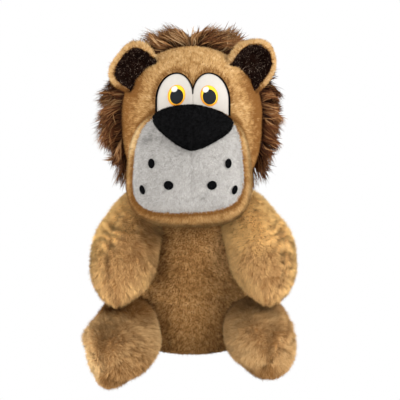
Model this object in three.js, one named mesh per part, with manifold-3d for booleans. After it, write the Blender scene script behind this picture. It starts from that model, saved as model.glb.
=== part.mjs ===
// A seated plush lion: pile fabric skins sewn over fibre filling. Millimetres, +Z up.
// The origin is on the floor, under the middle of the torso's flat seat, and the face looks along -Y.
import * as THREE from "three";
import { mergeVertices } from "three/addons/utils/BufferGeometryUtils.js";
import Module from "manifold-3d";

const wasm = await Module();
wasm.setup();

// Fabric, and the clearances between sewn pieces
const seamGap = 0.3; // between pieces that touch on the real toy
const skinThickness = 3; // pile fabric with its backing
const patchThickness = 1.2; // satin and embroidered patches
const flatDepth = 0.5; // how much of a form is cut flat where it rests on the floor
const overrun = 5; // how far a cutting form runs past what it cuts

// Torso: a pear on a flat seat. Heights run from the floor.
const torsoHeight = 162;
const torsoHalfWidth = 57;
const torsoFrontReach = 59;
const torsoBackReach = 50;
const torsoSeatRound = 14; // the height over which the seat's edge rounds off
const torsoNeckRound = 45;
const torsoEdgePower = 2.7;
const torsoLean = 8; // how far the neck lies behind the middle of the seat
const torsoSeamBehind = 12; // the seam between front and back lies this far behind the seat's middle
// rows of: height share, width share, reach share
const torsoProfileShares = [
  [0, 1, 1.08], [0.28, 1.03, 1.02], [0.5, 0.98, 0.94], [0.77, 0.84, 0.8], [1, 0.64, 0.64],
];

// Head: an egg on its broad end, sunk onto the neck
const neckInHead = 21; // how far the torso's neck runs up into the head
const headHeight = 153;
const headEdgePower = 2.25; // 2 rounds a form's ends as an ellipse, and more keeps them fuller
const headHalfWidth = 68.5;
const headFrontReach = 59;
const headBackReach = 56;
const headSetForward = 4; // the head's axis lies this far before the seat's middle
const headProfileShares = [
  [0, 0.94, 0.94], [0.3, 0.98, 1], [0.56, 1, 1], [0.8, 0.98, 0.98], [1, 0.92, 0.94],
];
const headChinRoundShare = 0.46; // of its height
const headTopRoundShare = 0.44;

// Mane: a thick hood of long pile round the face's edge and over the back of the head
const faceEdgeBehindFront = 50; // from the front of the face back to the mane's seam
const maneHalfWidth = 90;
const maneAboveHead = 18;
const maneBelowHead = 1.5; // how far the pile hangs past the head's lower end
const maneFlareForward = 13; // how far the pile leans forward past its seam
const maneBackDepth = 20; // pile thickness behind the head
const maneBackRoundShare = 0.55; // of its depth, over which the back rounds off
const maneEdgePower = 2.3;
const maneTufts = 13;
const maneTuftShare = 0.055; // a tuft's depth against the mane's radius
const maneTuftTurnShare = 0.7; // how far the tufts swirl from front to back, against their pitch
const maneProfileShares = [[0, 0.95, 0.95], [0.3, 1, 1], [0.7, 0.93, 0.95], [1, 0.78, 0.84]];

// Muzzle: a broad drum with a domed front, wider at the chin
const muzzleHalfWidth = 57;
const muzzleHalfHeight = 53;
const muzzleAboveChin = 48; // from the head's lower end up to the muzzle's middle
const muzzleReach = 44; // how far its front stands out of the face
const muzzleRoot = 24; // how far its form runs back into the head, to be cut there
const muzzleDome = 27; // the depth over which its front rounds off
const muzzleEdgePower = 2.3;
const muzzleRootRoundShare = 0.5; // of its root
const muzzleTilt = THREE.MathUtils.degToRad(11); // its front looks up by this
const muzzleChinShare = 0.09; // how much wider it is at the chin than halfway up
const muzzleProfileShares = [[0, 0.98, 0.98], [0.45, 1, 1], [1, 0.93, 0.93]];
const muzzleSquareness = 2.7; // 2 is an ellipse, and more has squarer corners
const bandWidth = 10; // the tan band that shows round the white panel, seen from the front

// Nose: a rounded triangle, stuffed, lying on the top front of the muzzle
const noseHalfWidth = 34.5;
const noseHalfHeight = 20.5;
const noseHalfDepth = 16;
const noseBehindMuzzleFront = 10; // its middle, so that half of it stands proud of the muzzle
const noseAboveMuzzleMiddle = 33.5;
const noseTilt = THREE.MathUtils.degToRad(20); // its front looks up by this
const nosePuffShare = 0.75; // below 1 keeps the nose full until close to its front
const noseSkin = 2; // short pile fabric
// the outline from the right end over the top to the left end and the tip, in shares of the half sizes
const noseOutlineShares = [
  [1, 0.36], [0.86, 0.66], [0.5, 0.92], [0, 1.04], [-0.5, 0.92], [-0.86, 0.66], [-1, 0.36],
  [-0.9, -0.02], [-0.62, -0.44], [-0.3, -0.8], [0, -0.96], [0.3, -0.8], [0.62, -0.44], [0.9, -0.02],
];

// Whisker dots: places across and above the muzzle's middle, in shares of its half sizes
const dotHalfWidth = 3.3;
const dotHalfHeight = 4;
const dotStampShare = 0.67; // of the muzzle's reach, how deep a dot's stamp goes in from the front
const dotPlaceShares = [[0.6, 0.06], [0.76, -0.41], [0.35, -0.34]];

// Eyes: one panel shaped as two joined arches, with discs laid on it
const eyeSpacing = 33; // between the arches' middles
const archHalfWidth = 17.2;
const archHalfHeight = 20;
const archAboveMuzzleMiddle = 58.8;
const archSkirt = 24; // from an arch's middle down to the panel's hidden lower edge
const eyeOutlineWidth = 1.7;
const irisHalfWidth = 8.3;
const irisHalfHeight = 9.9;
const eyeStampShare = 0.5; // of the head's front reach, how deep an eye's stamp goes in
const irisInset = 1.5; // how far each iris stands in from its arch's middle
const pupilHalfWidth = 6.2;
const pupilHalfHeight = 6.7;
const highlightRadius = 2.4;
const highlightAside = 2.6; // from the pupil's middle
const highlightAbove = 6;

// Ears: shallow cups that open to the front
const earHalfWidth = 24;
const earHeight = 60; // from the hidden root to the tip
const earHalfThickness = 10;
const earRootAside = 37;
const earBelowHeadTop = 44; // from the head's top down to the ear's root
const earRootRoundShare = 0.33; // of its height
const earForward = 22; // its root lies this far before the head's axis
const earLean = THREE.MathUtils.degToRad(40); // outward
const earTurn = THREE.MathUtils.degToRad(10); // the cup's mouth looks outward by this
const earRim = 4.5;
const earCupForward = 6.5; // how far the cup's hollow stands before the ear's middle
const earLiningThickness = 2;
const earProfileShares = [[0, 0.8, 1], [0.35, 0.98, 1], [0.65, 1, 1], [1, 0.76, 0.9]];

// Legs: stout lobes that lie forward on the floor and turn out
const hipAside = 57;
const hipForward = 20;
const rightLegReach = 168; // from the hip to the foot's end
const leftLegReach = 140;
const legHalfWidth = 32;
const legHalfHeight = 28;
const legFootRound = 44;
const legRootInside = 34; // the form's hidden start, behind the hip
const legProfileShares = [
  [0, 0.76, 0.86], [0.32, 0.91, 0.96], [0.56, 1, 1], [0.78, 0.91, 0.95], [1, 0.68, 0.88],
];
const rightLegTurn = THREE.MathUtils.degToRad(4);
const leftLegTurn = THREE.MathUtils.degToRad(4);
const legSquareness = 2.2;
const legRootRoundShare = 0.5; // of its hidden start
const legSplay = THREE.MathUtils.degToRad(15);

// Arms: long lobes from the shoulder, forward and down to the thigh
const shoulderAside = 42;
const shoulderBelowTorsoTop = 24;
const shoulderForward = 3;
const armRootInside = 16; // the form's hidden start, above and inside the shoulder
const elbowAside = 59;
const elbowForward = 48;
const elbowBelowShoulder = 28;
const handAside = 67;
const handForward = 90; // to the middle of the hand
const handAboveLeg = 2.2; // from the thigh up to the hand's underside
const handUndersideShare = 0.8; // of the arm's half thickness, the hand's middle lies above its underside
const handLength = 22; // the form runs on by this past the hand's middle
const handDropShare = 0.62; // of that run, how much of it goes down
const armHalfWidth = 32;
const armHalfThickness = 26;
const armHandRound = 44;
const armProfileShares = [
  [0, 0.74, 0.8], [0.3, 0.95, 0.95], [0.55, 1, 1], [0.78, 0.88, 0.92], [1, 0.62, 0.74],
];
const armSquareness = 2.1;
const armSwing = THREE.MathUtils.degToRad(30);

// Tail: a thin stem from the back of the seat, ending in a tuft on the floor
const tailRootHeight = 27;
const tailRootInside = 22;
const tailReach = 78; // from the torso to the stem's end, inside the tuft
const tailHalfWidth = 7.5;
const tuftHalfWidth = 13;
const tuftLength = 46;
const tuftSleeve = 17; // how much of the stem's end the tuft covers
const tailLift = THREE.MathUtils.degToRad(40);
const tailProfileShares = [[0, 1.15, 1.15], [0.5, 1, 1], [1, 0.92, 0.92]];
const tuftProfileShares = [[0, 0.7, 0.7], [0.4, 1, 1], [1, 0.8, 0.8]];

// How finely the forms are faceted
const bodyFacets = { rings: 3, capRings: 4, sides: 24 };
const limbFacets = { rings: 3, capRings: 3, sides: 16 };
const innerFacets = { rings: 2, capRings: 2, sides: 12 };
const smallFacets = { rings: 2, capRings: 2, sides: 10 };
const earFacets = { rings: 2, capRings: 2, sides: 12 };
const maneFacets = { rings: 2, capRings: 3, sides: 3 * maneTufts };
const patchSegments = 8;
const sweepSteps = 3;
const noseFacets = { rings: 4, sides: 20 };

const pileTan = { color: 0xc3965c, roughness: 0.95, metalness: 0 };
const pileBrown = { color: 0x87643a, roughness: 0.95, metalness: 0 };
const pileArm = { color: 0xb98f5c, roughness: 0.95, metalness: 0 };
const pileLeg = { color: 0xa68150, roughness: 0.95, metalness: 0 };
const pileMane = { color: 0x5e341c, roughness: 0.95, metalness: 0 };
const pileWhite = { color: 0xc4c4c4, roughness: 0.9, metalness: 0 };
const pileDark = { color: 0x2e1a12, roughness: 0.9, metalness: 0 };
const pileBlack = { color: 0x141416, roughness: 0.85, metalness: 0 };
const satinWhite = { color: 0xe2dde0, roughness: 0.5, metalness: 0 };
const satinYellow = { color: 0xf2c22c, roughness: 0.5, metalness: 0 };
const fibre = { color: 0xf2f2ee, roughness: 1, metalness: 0 };

const lion = new THREE.Group();

// Meshes, and the joins and cuts between them
function toSolid(geometry) {
  const bare = new THREE.BufferGeometry();
  bare.setAttribute("position", geometry.getAttribute("position"));
  bare.setIndex(geometry.getIndex());
  const merged = mergeVertices(bare);
  return new wasm.Manifold(new wasm.Mesh({
    numProp: 3,
    vertProperties: new Float32Array(merged.getAttribute("position").array),
    triVerts: new Uint32Array(merged.getIndex().array),
  }));
}

function addPiece(name, solid, look) {
  const cutMesh = solid.getMesh();
  const geometry = new THREE.BufferGeometry();
  geometry.setAttribute("position", new THREE.BufferAttribute(new Float32Array(cutMesh.vertProperties), 3));
  geometry.setIndex(new THREE.BufferAttribute(new Uint32Array(cutMesh.triVerts), 1));
  geometry.computeVertexNormals();
  const mesh = new THREE.Mesh(geometry, new THREE.MeshStandardMaterial(look));
  mesh.name = name;
  lion.add(mesh);
}

function without(solid, ...cutters) {
  return cutters.reduce((rest, cutter) => rest.subtract(cutter), solid);
}

// The surface moved out along its own normals, or in where the distance is negative
function swell(geometry, distance) {
  const moved = geometry.clone();
  moved.computeVertexNormals();
  const places = moved.getAttribute("position");
  const normals = moved.getAttribute("normal");
  for (let i = 0; i < places.count; i += 1) {
    places.setXYZ(
      i,
      places.getX(i) + distance * normals.getX(i),
      places.getY(i) + distance * normals.getY(i),
      places.getZ(i) + distance * normals.getZ(i),
    );
  }
  moved.deleteAttribute("normal");
  return moved;
}

function grown(geometry, distance = seamGap) {
  return toSolid(swell(geometry, distance));
}

function mirrored(solid) {
  return solid.mirror([1, 0, 0]);
}

// A box between two corners
function block(low, high) {
  const size = new THREE.Vector3().subVectors(high, low);
  const box = new THREE.BoxGeometry(size.x, size.y, size.z);
  box.translate(low.x + size.x / 2, low.y + size.y / 2, low.z + size.z / 2);
  return toSolid(box);
}

// Reads a table of rows [share, ...values] as a smooth curve
function readTable(rows, share) {
  const last = rows.length - 1;
  let k = 0;
  while (k < last - 1 && share > rows[k + 1][0]) k += 1;
  const from = rows[k];
  const to = rows[k + 1];
  const before = rows[Math.max(k - 1, 0)];
  const after = rows[Math.min(k + 2, last)];
  const u = (share - from[0]) / (to[0] - from[0]);
  const step = to[0] - from[0];
  return from.slice(1).map((value, column) => {
    const c = column + 1;
    const startSlope = ((to[c] - before[c]) / (to[0] - before[0])) * step;
    const endSlope = ((after[c] - from[c]) / (after[0] - from[0])) * step;
    const bend = 2 * (from[c] - to[c]) + startSlope + endSlope;
    return value + u * (startSlope + u * (-bend + to[c] - from[c] - startSlope + u * bend));
  });
}

// Unit places round a superellipse, each with its angle
function superellipse(squareness, sides) {
  const bulge = (value) => Math.sign(value) * Math.abs(value) ** (2 / squareness);
  return Array.from({ length: sides }, (_, j) => {
    const angle = (2 * Math.PI * j) / sides;
    return [bulge(Math.cos(angle)), bulge(Math.sin(angle)), angle];
  });
}

// A closed surface over rings of points, which turn by the right hand from the first pole to the last
function closeRings(firstPole, loops, lastPole) {
  const sides = loops[0].length;
  const points = [firstPole, ...loops.flat(), lastPole];
  const at = (i, j) => 1 + i * sides + (j % sides);
  const faces = [];
  for (let j = 0; j < sides; j += 1) {
    faces.push(0, at(0, j + 1), at(0, j));
    for (let i = 0; i < loops.length - 1; i += 1) {
      faces.push(at(i, j), at(i, j + 1), at(i + 1, j + 1));
      faces.push(at(i, j), at(i + 1, j + 1), at(i + 1, j));
    }
    faces.push(points.length - 1, at(loops.length - 1, j), at(loops.length - 1, j + 1));
  }
  const geometry = new THREE.BufferGeometry().setFromPoints(points);
  geometry.setIndex(faces);
  return geometry;
}

// The stuffed form: rings along a spine, with rounded ends. Each ring is a superellipse that spans
// wide to each side along across, and thick before and backThick behind.
function stuffedForm({
  spine, across, wide, thick, backThick = thick, profileShares, startRound, endRound,
  endPower = 2, squareness = 2, chinShare = 0, ripple = () => 1, facets,
}) {
  const curve = new THREE.CatmullRomCurve3(spine);
  const length = curve.getLength();
  const startShare = startRound / length;
  const endShare = endRound / length;
  const { rings, capRings, sides } = facets;
  const stations = [];
  for (let i = 1; i <= capRings; i += 1) {
    stations.push(startShare * (1 - Math.cos((Math.PI / 2) * (i / capRings))));
  }
  for (let i = 1; i <= rings; i += 1) {
    stations.push(startShare + (1 - startShare - endShare) * (i / (rings + 1)));
  }
  for (let i = capRings; i >= 1; i -= 1) {
    stations.push(1 - endShare * (1 - Math.cos((Math.PI / 2) * (i / capRings))));
  }
  const loops = stations.map((share) => {
    const centre = curve.getPointAt(share);
    const along = curve.getTangentAt(share);
    const side = across.clone().addScaledVector(along, -across.dot(along)).normalize();
    const rise = new THREE.Vector3().crossVectors(along, side);
    const fromStart = Math.max(0, 1 - share / startShare);
    const fromEnd = Math.max(0, 1 - (1 - share) / endShare);
    const rounding = (1 - fromStart ** endPower) ** (1 / endPower)
      * (1 - fromEnd ** endPower) ** (1 / endPower);
    const [wideShare, thickShare] = readTable(profileShares, share);
    return superellipse(squareness, sides).map(([c, s, angle]) => {
      const size = rounding * ripple(angle, share);
      const reach = s > 0 ? thick : backThick;
      return centre.clone()
        .addScaledVector(side, c * wide * wideShare * size * (1 - chinShare * s))
        .addScaledVector(rise, s * reach * thickShare * size);
    });
  });
  return closeRings(curve.getPointAt(0), loops, curve.getPointAt(1));
}

// A straight prism along Y from a Shape drawn in X and Z
function prism(shape, front, back) {
  const geometry = new THREE.ExtrudeGeometry(shape, {
    depth: back - front, bevelEnabled: false, curveSegments: patchSegments,
  });
  geometry.rotateX(Math.PI / 2);
  geometry.translate(0, back, 0);
  geometry.deleteAttribute("normal");
  geometry.deleteAttribute("uv");
  return toSolid(mergeVertices(geometry));
}

function ovalShape(x, z, halfWidth, halfHeight) {
  return new THREE.Shape().absellipse(x, z, halfWidth, halfHeight, 0, 2 * Math.PI);
}

const vector = (x, y, z) => new THREE.Vector3(x, y, z);
const sideways = vector(1, 0, 0);

// Everything under the floor is cut away, so a form that dips by flatDepth rests on a flat face
const reachAll = torsoHeight + headHeight + rightLegReach;
const underFloor = block(vector(-reachAll, -reachAll, -reachAll), vector(reachAll, reachAll, 0));

// Torso
const torsoForm = (facets) => stuffedForm({
  spine: [vector(0, 0, -flatDepth), vector(0, 0, torsoHeight / 2), vector(0, torsoLean, torsoHeight)],
  across: sideways,
  wide: torsoHalfWidth,
  thick: torsoBackReach,
  backThick: torsoFrontReach,
  profileShares: torsoProfileShares,
  startRound: torsoSeatRound,
  endRound: torsoNeckRound,
  endPower: torsoEdgePower,
  facets,
});
const torsoOuter = torsoForm(bodyFacets);
const torsoInner = torsoForm(innerFacets);
const torsoKeepOut = grown(torsoOuter);

// Head
const headBottom = torsoHeight - neckInHead;
const headTop = headBottom + headHeight;
const headAxisY = -headSetForward;
const headForm = (facets) => stuffedForm({
  spine: [vector(0, headAxisY, headBottom), vector(0, headAxisY, headTop)],
  across: sideways,
  wide: headHalfWidth,
  thick: headBackReach,
  backThick: headFrontReach,
  profileShares: headProfileShares,
  startRound: headHeight * headChinRoundShare,
  endRound: headHeight * headTopRoundShare,
  endPower: headEdgePower,
  facets,
});
const headOuter = headForm(bodyFacets);
const headInner = headForm(innerFacets);
const headKeepOut = grown(headOuter);
const faceFront = headAxisY - headFrontReach;
const faceEdge = faceFront + faceEdgeBehindFront;
const headFilling = toSolid(swell(headInner, -skinThickness - seamGap));
const headHollow = toSolid(swell(headInner, -skinThickness));
const beforeFaceEdge = (y) => block(vector(-reachAll, -reachAll, 0), vector(reachAll, y, reachAll));

// Muzzle, with its own tilted axis
const muzzleMiddleHeight = headBottom + muzzleAboveChin;
const muzzleAhead = vector(0, -Math.cos(muzzleTilt), Math.sin(muzzleTilt));
const muzzleFront = vector(0, faceFront - muzzleReach, muzzleMiddleHeight);
const muzzleForm = (facets) => stuffedForm({
  spine: [
    muzzleFront.clone().addScaledVector(muzzleAhead, -muzzleReach - muzzleRoot),
    muzzleFront,
  ],
  across: sideways,
  wide: muzzleHalfWidth,
  thick: muzzleHalfHeight,
  profileShares: muzzleProfileShares,
  startRound: muzzleRoot * muzzleRootRoundShare,
  endRound: muzzleDome,
  endPower: muzzleEdgePower,
  squareness: muzzleSquareness,
  chinShare: muzzleChinShare,
  facets,
});
const muzzleOuter = muzzleForm(bodyFacets);
const muzzleInner = muzzleForm(innerFacets);
const muzzleKeepOut = grown(muzzleOuter);

// The muzzle's outline seen from the front, drawn in by inset
function muzzleOutline(inset) {
  return new THREE.Shape(superellipse(muzzleSquareness, bodyFacets.sides).map(([c, s]) => new THREE.Vector2(
    (muzzleHalfWidth - inset) * c * (1 - muzzleChinShare * s),
    muzzleMiddleHeight + (muzzleHalfHeight - inset) * s,
  )));
}

// Nose: rings of one outline that draw in towards the front
function noseForm() {
  const outline = new THREE.CatmullRomCurve3(
    noseOutlineShares.map(([x, z]) => vector(x * noseHalfWidth, 0, z * noseHalfHeight)),
    true,
  ).getSpacedPoints(noseFacets.sides).slice(0, noseFacets.sides);
  const rings = [];
  for (let i = 1 - noseFacets.rings; i < noseFacets.rings; i += 1) {
    const turn = (Math.PI / 2) * (i / noseFacets.rings);
    const size = Math.cos(turn) ** nosePuffShare;
    const y = -noseHalfDepth * Math.sin(turn);
    rings.push(outline.map((point) => vector(point.x * size, y, point.z * size)));
  }
  const geometry = closeRings(vector(0, noseHalfDepth, 0), rings, vector(0, -noseHalfDepth, 0));
  geometry.rotateX(-noseTilt);
  geometry.translate(
    0,
    muzzleFront.y + noseBehindMuzzleFront,
    muzzleMiddleHeight + noseAboveMuzzleMiddle,
  );
  return geometry;
}
const noseOuter = noseForm();
const noseKeepOut = grown(noseOuter);

// Ears, made for the left and mirrored for the right. Inset draws the outline in, and forward moves it.
const earAlong = vector(Math.sin(earLean), 0, Math.cos(earLean));
const earAcross = vector(Math.cos(earLean), 0, -Math.sin(earLean)).applyAxisAngle(earAlong, earTurn);
const earMouth = new THREE.Vector3().crossVectors(earAcross, earAlong);
function earForm(inset, forward) {
  const root = vector(earRootAside, headAxisY - earForward, headTop - earBelowHeadTop)
    .addScaledVector(earMouth, forward);
  return stuffedForm({
    spine: [
      root.clone().addScaledVector(earAlong, inset),
      root.clone().addScaledVector(earAlong, earHeight - inset),
    ],
    across: earAcross,
    wide: earHalfWidth - inset,
    thick: earHalfThickness,
    profileShares: earProfileShares,
    startRound: earHeight * earRootRoundShare,
    endRound: earHalfWidth - inset,
    facets: earFacets,
  });
}
const earOuter = earForm(0, 0);
const earHollow = toSolid(earForm(earRim, earCupForward));
const earLiningBack = toSolid(earForm(earRim + seamGap, earCupForward + seamGap));
const earLiningFront = toSolid(earForm(earRim + seamGap, earCupForward + seamGap + earLiningThickness));
const earKeepOut = grown(earOuter);

// Mane: a tufted hood. The tufts swirl as they run back.
const maneFront = faceEdge - maneFlareForward;
const maneBack = headAxisY + headBackReach + maneBackDepth;
const maneTop = headTop + maneAboveHead;
const maneMiddleHeight = (maneTop + headBottom - maneBelowHead) / 2;
const maneTuftRipple = (angle, share) => 1 - maneTuftShare
  * (1 - Math.abs(Math.cos((maneTufts / 2) * angle + Math.PI * maneTuftTurnShare * share)));
const maneOuter = stuffedForm({
  spine: [vector(0, maneFront, maneMiddleHeight), vector(0, maneBack, maneMiddleHeight)],
  across: vector(-1, 0, 0),
  wide: maneHalfWidth,
  thick: maneTop - maneMiddleHeight,
  profileShares: maneProfileShares,
  startRound: maneFlareForward,
  endRound: (maneBack - maneFront) * maneBackRoundShare,
  endPower: maneEdgePower,
  ripple: maneTuftRipple,
  facets: maneFacets,
});
const maneKeepOut = grown(maneOuter);

// What the arms stay clear of. The tufts swirl one way, so the mane counts both ways round: the right
// arm is a mirrored left one.
const trunkKeepOut = torsoKeepOut.add(headKeepOut).add(muzzleKeepOut)
  .add(maneKeepOut)
  .add(mirrored(maneKeepOut));

function turned(solid, pivot, axis, angle) {
  const degrees = axis.clone().multiplyScalar(THREE.MathUtils.radToDeg(angle));
  return solid.translate([-pivot.x, -pivot.y, -pivot.z])
    .rotate([degrees.x, degrees.y, degrees.z])
    .translate([pivot.x, pivot.y, pivot.z]);
}

// The limb, cut by its neighbour at each step of the limb's own swing
function clearOf(limb, neighbour, pivot, axis, range) {
  let rest = limb;
  for (let i = 0; i <= sweepSteps; i += 1) {
    rest = rest.subtract(turned(neighbour, pivot, axis, (-range * i) / sweepSteps));
  }
  return rest;
}

// Legs, made for the left side
const hip = vector(hipAside, -hipForward, legHalfHeight - flatDepth);
function legForm(facets, reach, turn) {
  const ahead = vector(Math.sin(turn), -Math.cos(turn), 0);
  return stuffedForm({
    spine: [
      hip.clone().addScaledVector(ahead, -legRootInside),
      hip.clone().addScaledVector(ahead, reach),
    ],
    across: vector(Math.cos(turn), Math.sin(turn), 0),
    wide: legHalfWidth,
    thick: legHalfHeight,
    profileShares: legProfileShares,
    startRound: legRootInside * legRootRoundShare,
    endRound: legFootRound,
    squareness: legSquareness,
    facets,
  });
}
const upright = vector(0, 0, 1);

function makeLeg(reach, turn) {
  const outer = legForm(limbFacets, reach, turn);
  const inner = legForm(innerFacets, reach, turn);
  const seat = (solid) => without(
    clearOf(solid, torsoKeepOut, hip, upright, legSplay),
    underFloor,
  );
  const hollow = toSolid(swell(inner, -skinThickness));
  return {
    skin: seat(toSolid(outer).subtract(hollow)),
    filling: seat(toSolid(swell(inner, -skinThickness - seamGap))),
    keepOut: grown(outer),
  };
}

// Arms, made for the left side
const legTop = 2 * legHalfHeight - flatDepth;
const shoulder = vector(shoulderAside, -shoulderForward, torsoHeight - shoulderBelowTorsoTop);
const elbow = vector(elbowAside, -elbowForward, shoulder.z - elbowBelowShoulder);
const hand = vector(
  handAside,
  -handForward,
  legTop + handAboveLeg + handUndersideShare * armHalfThickness,
);
function armForm(facets) {
  const rootward = shoulder.clone().sub(elbow).normalize();
  const tip = hand.clone();
  tip.y -= handLength * Math.sqrt(1 - handDropShare ** 2);
  tip.z -= handLength * handDropShare;
  return stuffedForm({
    spine: [shoulder.clone().addScaledVector(rootward, armRootInside), elbow, hand, tip],
    across: sideways,
    wide: armHalfWidth,
    thick: armHalfThickness,
    profileShares: armProfileShares,
    startRound: armHalfThickness,
    endRound: armHandRound,
    squareness: armSquareness,
    facets,
  });
}
const forwards = vector(0, -1, 0);

function makeArm(legKeepOut) {
  const outer = armForm(limbFacets);
  const inner = armForm(innerFacets);
  const seat = (solid) => clearOf(
    clearOf(solid, trunkKeepOut, shoulder, forwards, armSwing),
    legKeepOut,
    hip,
    upright,
    -legSplay,
  );
  return {
    skin: seat(toSolid(outer).subtract(toSolid(swell(inner, -skinThickness)))),
    filling: seat(toSolid(swell(inner, -skinThickness - seamGap))),
  };
}

// Tail
const tailPivot = vector(0, torsoBackReach, tailRootHeight);
const tuftMiddleHeight = tuftHalfWidth - flatDepth;
const tailEnd = vector(0, torsoBackReach + tailReach, tuftMiddleHeight);
const tailForm = (facets) => stuffedForm({
  spine: [
    vector(0, torsoBackReach - tailRootInside, tailRootHeight),
    vector(0, torsoBackReach + tailReach / 2, (tailRootHeight + tuftMiddleHeight) / 2),
    tailEnd,
  ],
  across: vector(-1, 0, 0),
  wide: tailHalfWidth,
  thick: tailHalfWidth,
  profileShares: tailProfileShares,
  startRound: tailHalfWidth,
  endRound: tailHalfWidth,
  facets,
});
const tailOuter = tailForm(smallFacets);
const tuftOuter = stuffedForm({
  spine: [
    vector(0, tailEnd.y - tuftSleeve, tuftMiddleHeight),
    vector(0, tailEnd.y - tuftSleeve + tuftLength, tuftMiddleHeight),
  ],
  across: vector(-1, 0, 0),
  wide: tuftHalfWidth,
  thick: tuftHalfWidth,
  profileShares: tuftProfileShares,
  startRound: tuftHalfWidth,
  endRound: tuftHalfWidth,
  facets: smallFacets,
});

// The torso's pieces
function buildTorso() {
  const hollow = toSolid(swell(torsoInner, -skinThickness));
  const skin = without(toSolid(torsoOuter), hollow, underFloor);
  const seamFront = torsoSeamBehind - seamGap / 2;
  const seamBack = torsoSeamBehind + seamGap / 2;
  const beforeSeam = block(vector(-reachAll, -reachAll, -reachAll), vector(reachAll, seamFront, reachAll));
  const behindSeam = block(vector(-reachAll, seamBack, -reachAll), vector(reachAll, reachAll, reachAll));
  addPiece("torso_front_skin", skin.intersect(beforeSeam), pileBrown);
  addPiece("torso_back_skin", skin.intersect(behindSeam), pileBrown);
  const filling = toSolid(swell(torsoInner, -skinThickness - seamGap));
  addPiece("torso_filling", without(filling, underFloor), fibre);
}

// The head's pieces
function buildHead() {
  const headFront = toSolid(headOuter).intersect(beforeFaceEdge(faceEdge));
  const faceSkin = without(headFront, headHollow, torsoKeepOut);
  addPiece("face_skin", without(faceSkin, earKeepOut, mirrored(earKeepOut)), pileTan);
  const faceKeepOut = headKeepOut.intersect(beforeFaceEdge(faceEdge + seamGap));
  addPiece("mane", without(
    toSolid(maneOuter), faceKeepOut, headHollow, torsoKeepOut, earKeepOut, mirrored(earKeepOut),
  ), pileMane);
  addPiece("head_filling", without(headFilling, torsoKeepOut), fibre);
}

function buildEars() {
  const back = without(toSolid(earOuter), earHollow, headKeepOut);
  const lining = without(earLiningBack, earLiningFront, headKeepOut).intersect(toSolid(earOuter));
  [["left", (solid) => solid], ["right", mirrored]].forEach(([side, toSide]) => {
    addPiece(`ear_back_${side}`, toSide(back), pileTan);
    addPiece(`ear_lining_${side}`, toSide(lining), pileDark);
  });
}

function buildMuzzle() {
  const hollow = toSolid(swell(muzzleInner, -skinThickness));
  const skin = without(toSolid(muzzleOuter), hollow, headKeepOut);
  const front = muzzleFront.y - overrun;
  const back = faceFront - overrun;
  const panelSpace = prism(muzzleOutline(bandWidth), front, back);
  const bandHole = prism(muzzleOutline(bandWidth - seamGap), front, back);
  addPiece("muzzle_band", skin.subtract(bandHole), pileTan);
  const leftOfSeam = block(vector(seamGap / 2, -reachAll, 0), vector(reachAll, 0, reachAll));
  const panel = skin.intersect(panelSpace);
  addPiece("muzzle_panel_left", panel.intersect(leftOfSeam), pileWhite);
  addPiece("muzzle_panel_right", panel.intersect(mirrored(leftOfSeam)), pileWhite);
  const filling = toSolid(swell(muzzleInner, -skinThickness - seamGap));
  addPiece("muzzle_filling", without(filling, headKeepOut), fibre);
}

function buildNose() {
  const hollow = toSolid(swell(noseOuter, -noseSkin));
  const filling = toSolid(swell(noseOuter, -noseSkin - seamGap));
  addPiece("nose_skin", without(toSolid(noseOuter), hollow, muzzleKeepOut, headKeepOut), pileBlack);
  addPiece("nose_filling", without(filling, muzzleKeepOut, headKeepOut), fibre);
}

// A layer over a form's surface, from one height above it to another
function layer(form, from, to) {
  return toSolid(swell(form, to)).subtract(toSolid(swell(form, from)));
}

function buildDots() {
  const patch = layer(muzzleOuter, seamGap, seamGap + patchThickness);
  const places = ["upper", "outer", "inner"];
  dotPlaceShares.forEach(([xShare, zShare], i) => {
    const x = xShare * muzzleHalfWidth;
    const z = muzzleMiddleHeight + zShare * muzzleHalfHeight;
    const stamp = prism(
      ovalShape(x, z, dotHalfWidth, dotHalfHeight),
      muzzleFront.y - overrun,
      muzzleFront.y + muzzleReach * dotStampShare,
    );
    const dot = patch.intersect(stamp);
    addPiece(`whisker_dot_${places[i]}_left`, dot, pileBlack);
    addPiece(`whisker_dot_${places[i]}_right`, mirrored(dot), pileBlack);
  });
}

// One arch of the eye panel, grown all round by margin
const archMiddleHeight = muzzleMiddleHeight + archAboveMuzzleMiddle;
function archShape(x, margin) {
  const shape = new THREE.Shape();
  const bottom = archMiddleHeight - archSkirt - margin;
  shape.moveTo(x + archHalfWidth + margin, bottom);
  shape.lineTo(x + archHalfWidth + margin, archMiddleHeight);
  shape.absellipse(x, archMiddleHeight, archHalfWidth + margin, archHalfHeight + margin, 0, Math.PI);
  shape.lineTo(x - archHalfWidth - margin, bottom);
  return shape;
}

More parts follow.
